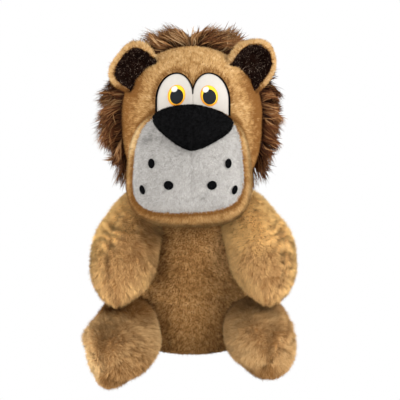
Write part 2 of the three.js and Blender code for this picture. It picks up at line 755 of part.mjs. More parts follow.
function buildEyes() {
  const front = faceFront - overrun;
  const back = faceFront + headFrontReach * eyeStampShare;
  const stamp = (shape) => prism(shape, front, back);
  const arches = (margin) => stamp(archShape(eyeSpacing / 2, margin))
    .add(stamp(archShape(-eyeSpacing / 2, margin)));
  const panelTop = seamGap + patchThickness;
  const panelLayer = without(layer(headOuter, seamGap, panelTop), muzzleKeepOut, noseKeepOut);
  addPiece("eye_panel", panelLayer.intersect(arches(0)), satinWhite);
  const rim = arches(seamGap + eyeOutlineWidth).subtract(arches(seamGap));
  addPiece("eye_outline", panelLayer.intersect(rim), pileBlack);
  const discLayer = without(
    layer(headOuter, panelTop + seamGap, panelTop + seamGap + patchThickness),
    muzzleKeepOut,
    noseKeepOut,
  );
  [["left", 1], ["right", -1]].forEach(([side, sign]) => {
    const x = sign * (eyeSpacing / 2 - irisInset);
    const z = archMiddleHeight;
    const highlightX = x - highlightAside;
    const highlightZ = z + highlightAbove;
    const pupil = (margin) => stamp(ovalShape(x, z, pupilHalfWidth + margin, pupilHalfHeight + margin));
    const highlight = (margin) => stamp(ovalShape(
      highlightX, highlightZ, highlightRadius + margin, highlightRadius + margin,
    ));
    const iris = stamp(ovalShape(x, z, irisHalfWidth, irisHalfHeight));
    const irisRing = without(iris, pupil(seamGap), highlight(seamGap));
    addPiece(`iris_${side}`, discLayer.intersect(irisRing), satinYellow);
    addPiece(`pupil_${side}`, discLayer.intersect(without(pupil(0), highlight(seamGap))), pileBlack);
    addPiece(`eye_highlight_${side}`, discLayer.intersect(highlight(0)), satinWhite);
  });
}

function buildLimbs() {
  const sides = [
    ["left", leftLegReach, leftLegTurn, (solid) => solid],
    ["right", rightLegReach, rightLegTurn, mirrored],
  ];
  sides.forEach(([side, reach, turn, toSide]) => {
    const leg = makeLeg(reach, turn);
    const arm = makeArm(leg.keepOut);
    addPiece(`arm_skin_${side}`, toSide(arm.skin), pileArm);
    addPiece(`arm_filling_${side}`, toSide(arm.filling), fibre);
    addPiece(`leg_skin_${side}`, toSide(leg.skin), pileLeg);
    addPiece(`leg_filling_${side}`, toSide(leg.filling), fibre);
  });
}

function buildTail() {
  const seat = (solid) => clearOf(solid, torsoKeepOut, tailPivot, sideways, tailLift);
  const hollow = toSolid(swell(tailOuter, -skinThickness));
  const filling = toSolid(swell(tailOuter, -skinThickness - seamGap));
  addPiece("tail_skin", seat(toSolid(tailOuter).subtract(hollow)), pileTan);
  addPiece("tail_filling", seat(filling), fibre);
  addPiece("tail_tuft", without(toSolid(tuftOuter), grown(tailOuter), underFloor), pileMane);
}

buildTorso();
buildHead();
buildEars();
buildMuzzle();
buildNose();
buildDots();
buildEyes();
buildLimbs();
buildTail();

export default lion;
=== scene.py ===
"""A seated plush lion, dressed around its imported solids: stuffed forms covered with pile.

The forms repeat the sizes of the solids, in millimetres, and become metres where a mesh is made.
"""
import math

import bpy
import numpy as np
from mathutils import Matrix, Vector
from mathutils.bvhtree import BVHTree


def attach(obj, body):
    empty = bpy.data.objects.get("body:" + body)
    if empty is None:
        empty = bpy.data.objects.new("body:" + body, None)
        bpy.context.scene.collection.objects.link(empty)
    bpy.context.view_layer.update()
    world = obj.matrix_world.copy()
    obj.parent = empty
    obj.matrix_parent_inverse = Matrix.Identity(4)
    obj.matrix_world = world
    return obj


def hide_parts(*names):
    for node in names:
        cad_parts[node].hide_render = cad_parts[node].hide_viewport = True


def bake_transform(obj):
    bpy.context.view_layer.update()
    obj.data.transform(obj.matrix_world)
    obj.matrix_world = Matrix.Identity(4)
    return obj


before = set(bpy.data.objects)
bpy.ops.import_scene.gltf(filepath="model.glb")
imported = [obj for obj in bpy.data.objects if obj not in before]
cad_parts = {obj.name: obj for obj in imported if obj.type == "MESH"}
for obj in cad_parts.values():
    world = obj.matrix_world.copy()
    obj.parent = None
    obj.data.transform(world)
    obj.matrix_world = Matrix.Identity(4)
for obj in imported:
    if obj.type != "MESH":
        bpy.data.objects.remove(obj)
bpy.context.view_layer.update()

MM = 0.001
TRUNK = "torso_and_head"
X_AXIS = np.array([1.0, 0.0, 0.0])
Z_AXIS = np.array([0.0, 0.0, 1.0])
FLOOR_CLEAR = 0.3


# Numbers and noise
def vec(*values):
    return np.array(values, float)


def unit(v):
    return v / np.maximum(np.linalg.norm(v, axis=-1, keepdims=True), 1e-9)


def dot(a, b):
    return (a * b).sum(-1, keepdims=True)


def smooth(low, high, value):
    t = np.clip((value - low) / (high - low), 0, 1)
    return t * t * (3 - 2 * t)


def bump(value, middle, half):
    """1 at the middle, falling to 0 a few halves away."""
    return np.exp(-(((value - middle) / half) ** 2))


def between(value, low, high):
    return (value > low) & (value <= high)


HASH_X, HASH_Y, HASH_Z, HASH_SEED, HASH_MIX = 374761393, 668265263, 1440662683, 974634777, 1274126177


def hashed(cells, seed):
    """A number from 0 to 1 for each whole-number cell."""
    c = cells.astype(np.int64)
    h = c[..., 0] * HASH_X + c[..., 1] * HASH_Y + c[..., 2] * HASH_Z + seed * HASH_SEED
    h = (h ^ (h >> 13)) & 0xFFFFFFFF
    h = (h * HASH_MIX) & 0xFFFFFFFF
    return ((h ^ (h >> 16)) & 0xFFFFFF) / float(0x1000000)


def noise(points, size, seed):
    """Smooth noise from 0 to 1, with features of about the given size."""
    p = points / size
    cell = np.floor(p)
    t = p - cell
    t = t * t * (3 - 2 * t)
    total = np.zeros(p.shape[:-1])
    for corner in range(8):
        step = vec(corner & 1, corner >> 1 & 1, corner >> 2 & 1)
        weight = np.prod(np.where(step > 0, t, 1 - t), axis=-1)
        total += weight * hashed(cell + step, seed)
    return total


def wave(points, size, seed):
    """The same noise from -0.5 to 0.5."""
    return noise(points, size, seed) - .5


def lumps(points, size, seed):
    """For each point, the way to its nearest lump's middle, and that lump's own number from 0 to 1."""
    p = points / size
    base = np.floor(p)
    best = np.full(len(p), 1e9)
    way = np.zeros_like(p)
    own = np.zeros(len(p))
    for step in np.ndindex(3, 3, 3):
        cell = base + (vec(*step) - 1)
        middle = cell + np.stack([hashed(cell, seed + k) for k in (1, 2, 3)], -1)
        gap = middle - p
        d = (gap ** 2).sum(-1)
        nearer = d < best
        best = np.where(nearer, d, best)
        way[nearer] = gap[nearer]
        own = np.where(nearer, hashed(cell, seed + 4), own)
    return way * size, own


# Forms
SPLINE_STEPS = 160
FORM_STEPS = 241
COARSE_STEP = 6
CHUNK = 20000
FAR_OUTSIDE = 9.0


def hermite(a, b, slope_a, slope_b, t):
    """The smooth curve from a to b with the given slopes."""
    square, cube = -3 * a + 3 * b - 2 * slope_a - slope_b, 2 * a - 2 * b + slope_a + slope_b
    return a + slope_a * t + square * t ** 2 + cube * t ** 3


def spline(points):
    """A centripetal spline through the points, read densely."""
    pts = [np.asarray(p, float) for p in points]
    if len(pts) == 2:
        t = np.linspace(0, 1, SPLINE_STEPS)[:, None]
        return pts[0] + (pts[1] - pts[0]) * t
    run = [2 * pts[0] - pts[1], *pts, 2 * pts[-1] - pts[-2]]
    out = []
    for k in range(len(pts) - 1):
        a, b, c, d = run[k:k + 4]
        s0, s1, s2 = (math.sqrt(max(np.linalg.norm(q - p), 1e-6)) for p, q in ((a, b), (b, c), (c, d)))
        m1 = s1 * ((b - a) / s0 - (c - a) / (s0 + s1) + (c - b) / s1)
        m2 = s1 * ((c - b) / s1 - (d - b) / (s1 + s2) + (d - c) / s2)
        t = np.linspace(0, 1, SPLINE_STEPS, endpoint=k == len(pts) - 2)[:, None]
        out.append(hermite(b, c, m1, m2, t))
    return np.concatenate(out)


def read_table(rows, share):
    """The rows [share, wide, thick] read as a smooth curve."""
    last = len(rows) - 1
    k = 0
    while k < last - 1 and share > rows[k + 1][0]:
        k += 1
    a, b = rows[k], rows[k + 1]
    before, after = rows[max(k - 1, 0)], rows[min(k + 2, last)]
    step = b[0] - a[0]
    u = (share - a[0]) / step
    out = []
    for c in (1, 2):
        m1 = (b[c] - before[c]) / (b[0] - before[0]) * step
        m2 = (after[c] - a[c]) / (after[0] - a[0]) * step
        bend = 2 * (a[c] - b[c]) + m1 + m2
        out.append(a[c] + u * (m1 + u * (-bend + b[c] - a[c] - m1 + u * bend)))
    return out


class Form:
    """Rings along a spine with rounded ends, as the solid of that piece has them."""

    def __init__(self, spine, across, wide, thick, table, start_round, end_round,
                 back_thick=None, power=2.0, squareness=2.0, chin=0.0):
        line = spline(spine)
        steps = np.linalg.norm(np.diff(line, axis=0), axis=1)
        arc = np.concatenate([[0], np.cumsum(steps)])
        self.length = arc[-1]
        self.dense = np.linspace(0, 1, FORM_STEPS)
        at = self.dense * self.length
        self.centre = np.stack([np.interp(at, arc, line[:, k]) for k in range(3)], -1)
        self.along = unit(np.gradient(self.centre, axis=0))
        side = across - dot(self.along, across) * self.along
        self.side = unit(side)
        self.rise = np.cross(self.along, self.side)
        self.start, self.end = start_round / self.length, end_round / self.length
        self.wide, self.thick, self.back = wide, thick, back_thick or thick
        self.table, self.power, self.squareness, self.chin = table, power, squareness, chin
        self.sizes = np.array([self.ring_size(t) for t in self.dense])

    def ring_size(self, t):
        p = self.power
        a, b = max(0.0, 1 - t / self.start), max(0.0, 1 - (1 - t) / self.end)
        rounding = max(0.0, 1 - a ** p) ** (1 / p) * max(0.0, 1 - b ** p) ** (1 / p)
        w, h = read_table(self.table, t)
        return rounding * w * self.wide, rounding * h

    def read(self, values, share):
        return np.stack([np.interp(share, self.dense, values[:, k]) for k in range(values.shape[1])], -1)

    def points(self, share, angle):
        """Points on the form. share and angle are arrays of one shape."""
        flat = share[:, 0]
        size = np.array([self.ring_size(t) for t in flat])[:, None, :]
        c, s = np.cos(angle), np.sin(angle)
        q = 2 / self.squareness
        c, s = np.sign(c) * abs(c) ** q, np.sign(s) * abs(s) ** q
        reach = np.where(s > 0, self.thick, self.back)
        centre, side, rise = (self.read(v, flat)[:, None, :] for v in (self.centre, self.side, self.rise))
        return (centre + side * (c * size[..., 0] * (1 - self.chin * s))[..., None]
                + rise * (s * reach * size[..., 1])[..., None])

    def depth(self, points):
        """Below 1 inside the form, 1 on it, and more outside."""
        out = np.full(len(points), FAR_OUTSIDE)
        mids = self.centre[::COARSE_STEP]
        for low in range(0, len(points), CHUNK):
            p = points[low:low + CHUNK]
            k = ((p[:, None, :] - mids[None]) ** 2).sum(-1).argmin(1) * COARSE_STEP
            offset = ((p - self.centre[k]) * self.along[k]).sum(-1) / self.length
            t = self.dense[k] + offset
            inside = (t > 0) & (t < 1)
            centre, side, rise = (self.read(v, t) for v in (self.centre, self.side, self.rise))
            size = self.read(self.sizes, t)
            gap = p - centre
            b = (gap * rise).sum(-1)
            b = b / (np.where(b > 0, self.thick, self.back) * np.maximum(size[:, 1], 0.02))
            wide = np.maximum(size[:, 0], 0.5) * (1 - self.chin * np.clip(b, -1, 1))
            a = (gap * side).sum(-1) / wide
            f = (abs(a) ** self.squareness + abs(b) ** self.squareness) ** (1 / self.squareness)
            out[low:low + CHUNK] = np.where(inside, f, FAR_OUTSIDE)
        return out


class Spots:
    """Places on a skin: where they are, the way up there, and their share, cos and sin on the form."""

    def __init__(self, at, up, local):
        self.at, self.up, self.local = at, up, local
        self.x, self.y, self.z = at.T
        self.share, self.cos, self.sin = local.T

    def pick(self, which):
        return Spots(self.at[which], self.up[which], self.local[which])

    def flipped(self, flip):
        return Spots(self.at * flip, self.up * flip, self.local)


class Skin:
    """The surface of a form, finely ringed and shifted along its own normals, which pile grows on."""

    def __init__(self, form, rows, caps, sides, outset=0.0, shift=None):
        cap = 1 - np.cos(np.pi / 2 * np.arange(1, caps + 1) / caps)
        middle = form.start + (1 - form.start - form.end) * np.arange(1, rows + 1) / (rows + 1)
        share = np.concatenate([form.start * cap, middle, 1 - form.end * cap[::-1]])
        angle = 2 * np.pi * np.arange(sides) / sides
        s, a = np.meshgrid(share, angle, indexing="ij")
        poles = np.stack([form.centre[0], form.centre[-1]])
        self.vertices = np.concatenate([form.points(s, a).reshape(-1, 3), poles])
        self.share = np.concatenate([s.ravel(), [0, 1]])
        self.cos = np.concatenate([np.cos(a).ravel(), [0, 0]])
        self.sin = np.concatenate([np.sin(a).ravel(), [0, 0]])
        self.build_faces(len(share), sides)
        self.find_normals()
        if outset:
            self.vertices = self.vertices + self.normals * outset
        if shift is not None:
            self.vertices = self.vertices + self.normals * shift(self)[:, None]
            self.find_normals()

    def build_faces(self, n, m):
        """Faces between n rings of m vertices, and fans to the two poles."""
        i, j = np.meshgrid(np.arange(n - 1), np.arange(m), indexing="ij")
        k = (j + 1) % m
        self.quads = np.stack([i * m + j, i * m + k, (i + 1) * m + k, (i + 1) * m + j], -1).reshape(-1, 4)
        j = np.arange(m)
        k = (j + 1) % m
        first = np.stack([np.full(m, n * m), k, j], -1)
        last = np.stack([np.full(m, n * m + 1), (n - 1) * m + j, (n - 1) * m + k], -1)
        self.tris = np.concatenate([first, last])
        self.faces = np.concatenate([self.quads[:, [0, 1, 2]], self.quads[:, [0, 2, 3]], self.tris])

    def find_normals(self):
        v, f = self.vertices, self.faces
        flat = np.cross(v[f[:, 1]] - v[f[:, 0]], v[f[:, 2]] - v[f[:, 0]])
        self.areas = np.linalg.norm(flat, axis=1) / 2
        normals = np.zeros_like(v)
        for k in range(3):
            np.add.at(normals, f[:, k], flat)
        self.normals = unit(normals)

    def sample(self, rng, per_mm2):
        """Random places all over the surface."""
        reach = np.cumsum(self.areas)
        count = int(reach[-1] * per_mm2)
        face = self.faces[np.searchsorted(reach, rng.random(count) * reach[-1])]
        a, b = rng.random((2, count, 1))
        over = a + b > 1
        a, b = np.where(over, 1 - a, a), np.where(over, 1 - b, b)
        weights = (1 - a - b, a, b)
        blend = lambda values: sum(w * values[face[:, k]] for k, w in enumerate(weights))
        local = np.stack([self.share, self.cos, self.sin], -1)
        return Spots(blend(self.vertices), unit(blend(self.normals)), blend(local))

    def tree(self):
        return BVHTree.FromPolygons(self.vertices.tolist(), self.faces.tolist())


def mirror_skin(skin):
    """The same skin on the toy's other side, still facing out."""
    other = object.__new__(Skin)
    other.__dict__.update(skin.__dict__)
    flip = vec(-1, 1, 1)
    other.vertices, other.normals = skin.vertices * flip, skin.normals * flip
    other.quads, other.tris, other.faces = (f[:, ::-1] for f in (skin.quads, skin.tris, skin.faces))
    return other


def angle_round(p):
    return np.arctan2(p.sin, p.cos)


# Materials
def linear(*rgb):
    values = [c / 255 for c in rgb]
    return [c / 12.92 if c <= 0.04045 else ((c + 0.055) / 1.055) ** 2.4 for c in values] + [1.0]


def grey(value):
    return [value, value, value, 1.0]


def set_inputs(tree, node, inputs):
    """Links each input of a node to a socket, or sets it to a value."""
    for key, value in inputs.items():
        if isinstance(value, bpy.types.NodeSocket):
            tree.links.new(value, node.inputs[key])
        else:
            node.inputs[key].default_value = value


def add_node(tree, kind, inputs=None, **settings):
    node = tree.nodes.new("ShaderNode" + kind)
    for key, value in settings.items():
        setattr(node, key, value)
    set_inputs(tree, node, inputs or {})
    return node


def new_material(name, roughness, specular):
    material = bpy.data.materials.new(name)
    material.use_nodes = True
    tree = material.node_tree
    shader = tree.nodes["Principled BSDF"]
    set_inputs(tree, shader, {"Roughness": roughness, "Specular IOR Level": specular})
    return material, tree, shader


def ramp(tree, source, stops):
    node = add_node(tree, "ValToRGB", {"Fac": source})
    elements = node.color_ramp.elements
    while len(elements) < len(stops):
        elements.new(0.5)
    for element, (share, rgba) in zip(elements, stops):
        element.position = share
        element.color = rgba
    return node.outputs["Color"]


def even_stops(tones):
    return [(k / (len(tones) - 1), linear(*t)) for k, t in enumerate(tones)]


def object_noise(tree, where, size, **inputs):
    """Noise in the object's own space, with features of about the given size in millimetres."""
    return add_node(tree, "TexNoise", {"Scale": 1 / (size * MM), "Vector": where, **inputs}).outputs["Fac"]


def add_bump(tree, shader, height, strength, distance):
    node = add_node(tree, "Bump", {"Strength": strength, "Distance": distance * MM, "Height": height})
    set_inputs(tree, shader, {"Normal": node.outputs["Normal"]})


def pile_material(name, tones, root, middle, specular=0.0):
    """Pile, coloured by its strand map: across by the strand's own tone, and up from root to tip."""
    material, tree, shader = new_material(name, 0.9, specular)
    strand = add_node(tree, "UVMap", uv_map="strand")
    split = add_node(tree, "SeparateXYZ", {"Vector": strand.outputs["UV"]})
    tone = ramp(tree, split.outputs["X"], even_stops(tones))
    height = ramp(tree, split.outputs["Y"], [(0.0, grey(root)), (0.5, grey(middle)), (1.0, grey(1.0))])
    product = add_node(tree, "Mix", {"Factor": 1.0, "A": tone, "B": height},
                       data_type="RGBA", blend_type="MULTIPLY")
    set_inputs(tree, shader, {"Base Color": product.outputs["Result"]})
    return material


CLOTH_PATCH, CLOTH_GRAIN, CLOTH_BUMP = 2.0, 0.6, 0.4


def cloth_material(name, dark, light):
    """The knitted backing under pile: fine uneven colour, and a grain."""
    material, tree, shader = new_material(name, 0.95, 0.1)
    where = add_node(tree, "TexCoord").outputs["Object"]
    uneven = object_noise(tree, where, CLOTH_PATCH, Detail=3)
    colour = ramp(tree, uneven, [(0.3, linear(*dark)), (0.7, linear(*light))])
    set_inputs(tree, shader, {"Base Color": colour})
    add_bump(tree, shader, object_noise(tree, where, CLOTH_GRAIN), 0.4, CLOTH_BUMP)
    return material


THREAD_PITCH, THREAD_PATCH, THREAD_BUMP = 0.55, 4, 0.15


def thread_material(name, tones, roughness, specular):
    """Satin: threads lying side by side, each a little lighter or darker than the next."""
    material, tree, shader = new_material(name, roughness, specular)
    where = add_node(tree, "TexCoord").outputs["Object"]
    scale = 1 / (THREAD_PITCH * MM) / 20 * 2 * math.pi
    threads = add_node(tree, "TexWave", {"Scale": scale, "Distortion": 1.5, "Detail": 2, "Vector": where},
                       bands_direction="X").outputs["Fac"]
    uneven = object_noise(tree, where, THREAD_PATCH)
    product = add_node(tree, "Math", {0: threads, 1: uneven}, operation="MULTIPLY")
    set_inputs(tree, shader, {"Base Color": ramp(tree, product.outputs["Value"], even_stops(tones))})
    add_bump(tree, shader, threads, 0.35, THREAD_BUMP)
    return material


# Meshes
def mesh_object(name, vertices, groups, material):
    """A smooth object from groups of faces, each group with its own number of corners."""
    mesh = bpy.data.meshes.new(name)
    corners = np.concatenate([g.ravel() for g in groups]).astype(np.int32)
    counts = np.concatenate([np.full(len(g), g.shape[1]) for g in groups])
    starts = np.concatenate([[0], np.cumsum(counts)[:-1]]).astype(np.int32)
    mesh.vertices.add(len(vertices))
    mesh.vertices.foreach_set("co", (vertices * MM).astype(np.float32).ravel())
    mesh.loops.add(len(corners))
    mesh.loops.foreach_set("vertex_index", corners)
    mesh.polygons.add(len(counts))
    mesh.polygons.foreach_set("loop_start", starts)
    mesh.update(calc_edges=True)
    mesh.polygons.foreach_set("use_smooth", np.ones(len(counts), bool))
    mesh.materials.append(material)
    obj = bpy.data.objects.new(name, mesh)
    bpy.context.scene.collection.objects.link(obj)
    return obj


def place(obj, replaced=(), body=TRUNK, hinge=None):
    """Says what the piece rides on, and hides the solids it stands for. Given a hinge, the piece's transform
    is baked in instead and it rides on no body; the hinge's points are not read.
    """
    if hinge is None:
        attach(obj, body)
    else:
        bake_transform(obj)
    if replaced:
        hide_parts(*replaced)
    return obj


def skin_object(name, skin, material, replaced, body=TRUNK, hinge=None):
    obj = mesh_object(name, skin.vertices, [skin.quads, skin.tris], material)
    return place(obj, replaced, body, hinge)


# Pile
STRAND_SUNK = 0.4
STRAND_TAPER, TAPER_POWER = 0.7, 1.4
LEAN_SPREAD = 0.18
KNEE_UP, KNEE_AHEAD = 0.45, 0.12
THINNEST, WIDTH_SPREAD = 0.75, 0.5
MAP_EDGE = 0.004
LENGTH_KEY, CURL_KEY = 7.31, 3.17


def strand_corners(at, up, knee, tip, swing, half, segments):
    """The strands' vertices and normals: rings of three from the root up, and the tip."""
    corners, normals = [], []
    for k in range(segments + 1):
        t = k / segments
        if segments == 1:
            centre, ahead = at + (tip - at) * t, tip - at
        else:
            centre = at * (1 - t) ** 2 + knee * 2 * t * (1 - t) + tip * t * t + swing * math.sin(math.pi * t)
            ahead = (knee - at) * (1 - t) + (tip - knee) * t + swing * math.cos(math.pi * t) * 1.5
        ahead = unit(ahead)
        side = unit(np.cross(ahead, up) + 1e-5)
        top = np.cross(side, ahead)
        if k == segments:
            corners.append(tip[:, None])
            normals.append(unit(up * 0.6 + top * 0.5)[:, None])
            break
        if k == 0:
            centre = centre - up * STRAND_SUNK
        r = half * (1 - STRAND_TAPER * t ** TAPER_POWER)
        corners.append(np.stack([centre - side * r, centre + side * r, centre - top * r * 0.8], 1))
        facing, under = up * 0.7 + top * 0.4, up * 0.4 - top * 0.7
        normals.append(np.stack([unit(facing - side * 0.4), unit(facing + side * 0.4), unit(under)], 1))
    return np.concatenate(corners, 1), np.concatenate(normals, 1)


def strand_map(tone, segments):
    """Each corner's place on the strand map: its strand's tone, and its share of the way to the tip."""
    edge = np.stack([tone - MAP_EDGE, tone + MAP_EDGE, tone], -1)
    rings = [np.stack([edge, np.full_like(edge, k / segments)], -1) for k in range(segments)]
    return np.concatenate([*rings, np.stack([tone, np.ones_like(tone)], -1)[:, None]], 1)


def strand_faces(count, segments):
    faces = []
    for k in range(segments):
        a = 3 * k
        for p, q in ((0, 1), (1, 2), (2, 0)):
            if k == segments - 1:
                faces.append((a + p, a + q, a + 3))
            else:
                faces.append((a + p, a + q, a + 3 + q))
                faces.append((a + p, a + 3 + q, a + 3 + p))
    size = 3 * segments + 1
    return (np.array(faces)[None] + size * np.arange(count)[:, None, None]).reshape(-1, 3)


def grow(name, skin, comb, material, slot, *, seed, per_mm2, length, width, lean, lump, gather, stray,
         keep=None, shade=None, swirl=0.0, spread=0.13, lump_shade=0.1, uneven=0.25, lump_uneven=0.0,
         segments=1, droop=0.0, curl=0.0, body=TRUNK, hinge=None):
    """Pile on a skin. Each strand is a closed flattened spike that leans the way comb says.

    Strands gather in lumps, and each lump has a number of its own for its shade, length, swirl and curl.
    """
    rng = np.random.default_rng(seed)
    spots = skin.sample(rng, per_mm2)
    if keep is not None:
        spots = spots.pick(keep(spots) > rng.random(len(spots.at)))
    at, up, n = spots.at, spots.up, len(spots.at)
    flow = comb(spots)
    flow = unit(flow - up * dot(flow, up) + 1e-6)
    pull, own = lumps(at, lump, seed)
    pull -= up * dot(pull, up)
    turn = (own[:, None] - 0.5) * 2 * swirl
    flow = unit(flow * np.cos(turn) + np.cross(up, flow) * np.sin(turn))
    flow = flow + stray * rng.standard_normal((n, 3))
    flow = unit(flow - up * dot(flow, up) * 0.7)
    tilt = np.radians(lean) * (1 + LEAN_SPREAD * rng.standard_normal((n, 1)))
    long = length(spots) if callable(length) else np.full(n, float(length))
    other = (own * LENGTH_KEY) % 1
    long = long * (1 + uneven * (rng.random(n) * 2 - 1)) * (1 + lump_uneven * (other * 2 - 1))
    long = long[:, None]
    tip = at + long * (up * np.cos(tilt) + flow * np.sin(tilt)) + gather * pull
    tip[:, 2] -= droop * long[:, 0]
    knee = at + up * long * KNEE_UP + flow * long * KNEE_AHEAD
    swing = np.cross(up, flow) * ((own[:, None] * CURL_KEY) % 1 - .5) * 2 * curl
    tone = 0.5 + spread * rng.standard_normal(n) + lump_shade * (own - 0.5) * 2
    if shade is not None:
        tone = tone + shade(spots)
    tone = np.clip(tone, 0.02, 0.98)
    half = width / 2 * (THINNEST + WIDTH_SPREAD * rng.random((n, 1)))
    corners, normals = strand_corners(at, up, knee, tip, swing, half, segments)
    corners[..., 2] = np.maximum(corners[..., 2], FLOOR_CLEAR)
    faces = strand_faces(n, segments)
    obj = mesh_object(name, corners.reshape(-1, 3), [faces], material)
    places = strand_map(tone, segments).reshape(-1, 2)[faces.ravel()].astype(np.float32).ravel()
    for map_name in ("OFBake", "strand"):
        obj.data.uv_layers.new(name=map_name).data.foreach_set("uv", places)
    obj.data.normals_split_custom_set_from_vertices(normals.reshape(-1, 3))
    return place(obj, body=body, hinge=hinge)


# Camera, lamps and floor
CAMERA_AT, CAMERA_PITCH, LENS = (0.0078, -1.05, 0.300), 81.5, 96.84
WHITE = (1, 1, 1, 1)
SKY = 1.08
LAMP_SIZE, LAMP_TARGET = 1.0, Vector((0, 0, 0.15))
FLOOR_SIZE, FLOOR_Z = 12, -0.0004
SHADOW_FADE = (0.01, 0.04)


def make_camera():
    data = bpy.data.cameras.new("camera")
    data.sensor_width = 36.0
    data.lens = LENS
    data.clip_start = 0.05
    camera = bpy.data.objects.new("camera", data)
    camera.location = CAMERA_AT
    camera.rotation_euler = (math.radians(CAMERA_PITCH), 0, 0)
    bpy.context.scene.collection.objects.link(camera)
    bpy.context.scene.camera = camera
    bpy.context.scene.view_settings.view_transform = "Standard"


def seen_white(tree):
    """1 for the camera's, a gloss's and a glass's rays, which see plain white, and 0 for other rays."""
    path = add_node(tree, "LightPath").outputs
    seen = add_node(tree, "Math", {0: path["Is Camera Ray"], 1: path["Is Glossy Ray"]}, operation="MAXIMUM")
    return add_node(tree, "Math", {0: seen.outputs[0], 1: path["Is Transmission Ray"]},
                    operation="MAXIMUM").outputs[0]


def mix_shaders(tree, share, first, second, end):
    mixed = add_node(tree, "MixShader", {"Fac": share, 1: first.outputs[0], 2: second.outputs[0]})
    set_inputs(tree, tree.nodes[end], {"Surface": mixed.outputs[0]})


def make_world():
    world = bpy.data.worlds.new("studio")
    bpy.context.scene.world = world
    world.use_nodes = True
    tree = world.node_tree
    light = tree.nodes["Background"]
    set_inputs(tree, light, {"Color": WHITE, "Strength": SKY})
    white = add_node(tree, "Background", {"Color": WHITE, "Strength": 1.0})
    mix_shaders(tree, seen_white(tree), light, white, "World Output")


def make_lamp(name, at, power):
    data = bpy.data.lights.new(name, "AREA")
    data.shape = "DISK"
    data.size = LAMP_SIZE
    data.energy = power
    lamp = bpy.data.objects.new(name, data)
    lamp.location = at
    lamp.rotation_euler = (LAMP_TARGET - Vector(at)).to_track_quat("-Z", "Y").to_euler()
    bpy.context.scene.collection.objects.link(lamp)


def make_floor():
    """A pale floor that keeps the toy's shadow and turns plain white further out."""
    bpy.ops.mesh.primitive_grid_add(x_subdivisions=8, y_subdivisions=8, size=FLOOR_SIZE,
                                    location=(0, 0, FLOOR_Z))
    floor = bpy.context.object
    floor.name = "floor"
    material, tree, shader = new_material("floor_white", 1.0, 0.0)
    set_inputs(tree, shader, {"Base Color": (0.98, 0.98, 0.98, 1)})
    white = add_node(tree, "Emission", {"Color": WHITE, "Strength": 1.0})
    where = add_node(tree, "TexCoord").outputs["Object"]
    reach = add_node(tree, "VectorMath", {0: where}, operation="LENGTH")
    far = add_node(tree, "MapRange", {"From Min": SHADOW_FADE[0], "From Max": SHADOW_FADE[1],
                                      "Value": reach.outputs["Value"]}, interpolation_type="SMOOTHSTEP")
    both = add_node(tree, "Math", {0: far.outputs["Result"], 1: seen_white(tree)}, operation="MULTIPLY")
    mix_shaders(tree, both.outputs[0], shader, white, "Material Output")
    floor.data.materials.append(material)


make_camera()
make_world()
make_lamp("key", (1.1, -0.8, 0.85), 21)
make_lamp("fill", (-0.6, -1.4, 0.35), 5)
make_lamp("side", (-1.4, -0.2, 0.3), 16)
make_floor()

# The forms' sizes, as the solids have them
TORSO_HEIGHT = 162.0


def torso_form(seat_round):
    return Form(
        [vec(0, 0, -0.5), vec(0, 0, TORSO_HEIGHT / 2), vec(0, 8, TORSO_HEIGHT)], X_AXIS, wide=57, thick=50,
        table=[[0, 1, 1.08], [.28, 1.03, 1.02], [.5, .98, .94], [.77, .84, .8], [1, .64, .64]],
        start_round=seat_round, end_round=45, back_thick=59, power=2.7)


torso = torso_form(14)

HEAD_BOTTOM, HEAD_HEIGHT, HEAD_Y = 141.0, 153.0, -4.0
HEAD_TOP = HEAD_BOTTOM + HEAD_HEIGHT
head = Form(
    [vec(0, HEAD_Y, HEAD_BOTTOM), vec(0, HEAD_Y, HEAD_TOP)], X_AXIS, wide=68.5, thick=56,
    table=[[0, .94, .94], [.3, .98, 1], [.56, 1, 1], [.8, .98, .98], [1, .92, .94]],
    start_round=HEAD_HEIGHT * .46, end_round=HEAD_HEIGHT * .44, back_thick=59, power=2.25)
FACE_FRONT = HEAD_Y - 59
FACE_EDGE = FACE_FRONT + 50

MUZZLE_Z = HEAD_BOTTOM + 48
MUZZLE_TILT = math.radians(11)
MUZZLE_AHEAD = vec(0, -math.cos(MUZZLE_TILT), math.sin(MUZZLE_TILT))
MUZZLE_FRONT = vec(0, FACE_FRONT - 44, MUZZLE_Z)
MUZZLE_ASIDE = -2.0
muzzle = Form(
    [MUZZLE_FRONT - MUZZLE_AHEAD * 68, MUZZLE_FRONT], X_AXIS, wide=57, thick=56,
    table=[[0, .98, .98], [.45, 1, 1], [1, .93, .93]],
    start_round=12, end_round=27, back_thick=53, power=2.3, squareness=2.85, chin=.075)

MANE_TOP = HEAD_TOP + 18
MANE_Z = (MANE_TOP + HEAD_BOTTOM - 1.5) / 2
MANE_FRONT, MANE_BACK = FACE_EDGE - 13, HEAD_Y + 56 + 20
MANE_PILE = 15.0
mane_root = Form(
    [vec(0, MANE_FRONT + 9, MANE_Z), vec(0, MANE_BACK - MANE_PILE, MANE_Z)], -X_AXIS,
    wide=90 - MANE_PILE, thick=MANE_TOP - MANE_Z - MANE_PILE,
    table=[[0, .95, .95], [.3, 1, 1], [.7, .93, .95], [1, .78, .84]],
    start_round=10, end_round=(MANE_BACK - MANE_FRONT) * .5, power=2.3, squareness=2.25)

HIP = vec(57, -20, 27.5)


def leg_form(reach, turn, half, aside):
    ahead = vec(math.sin(turn), -math.cos(turn), 0)
    hip = HIP + X_AXIS * aside
    return Form(
        [hip - ahead * 34, hip + ahead * reach], vec(math.cos(turn), math.sin(turn), 0), wide=half, thick=28,
        table=[[0, .76, .86], [.32, .91, .96], [.56, 1, 1], [.78, .91, .95], [1, .68, .88]],
        start_round=17, end_round=44, squareness=2.2)


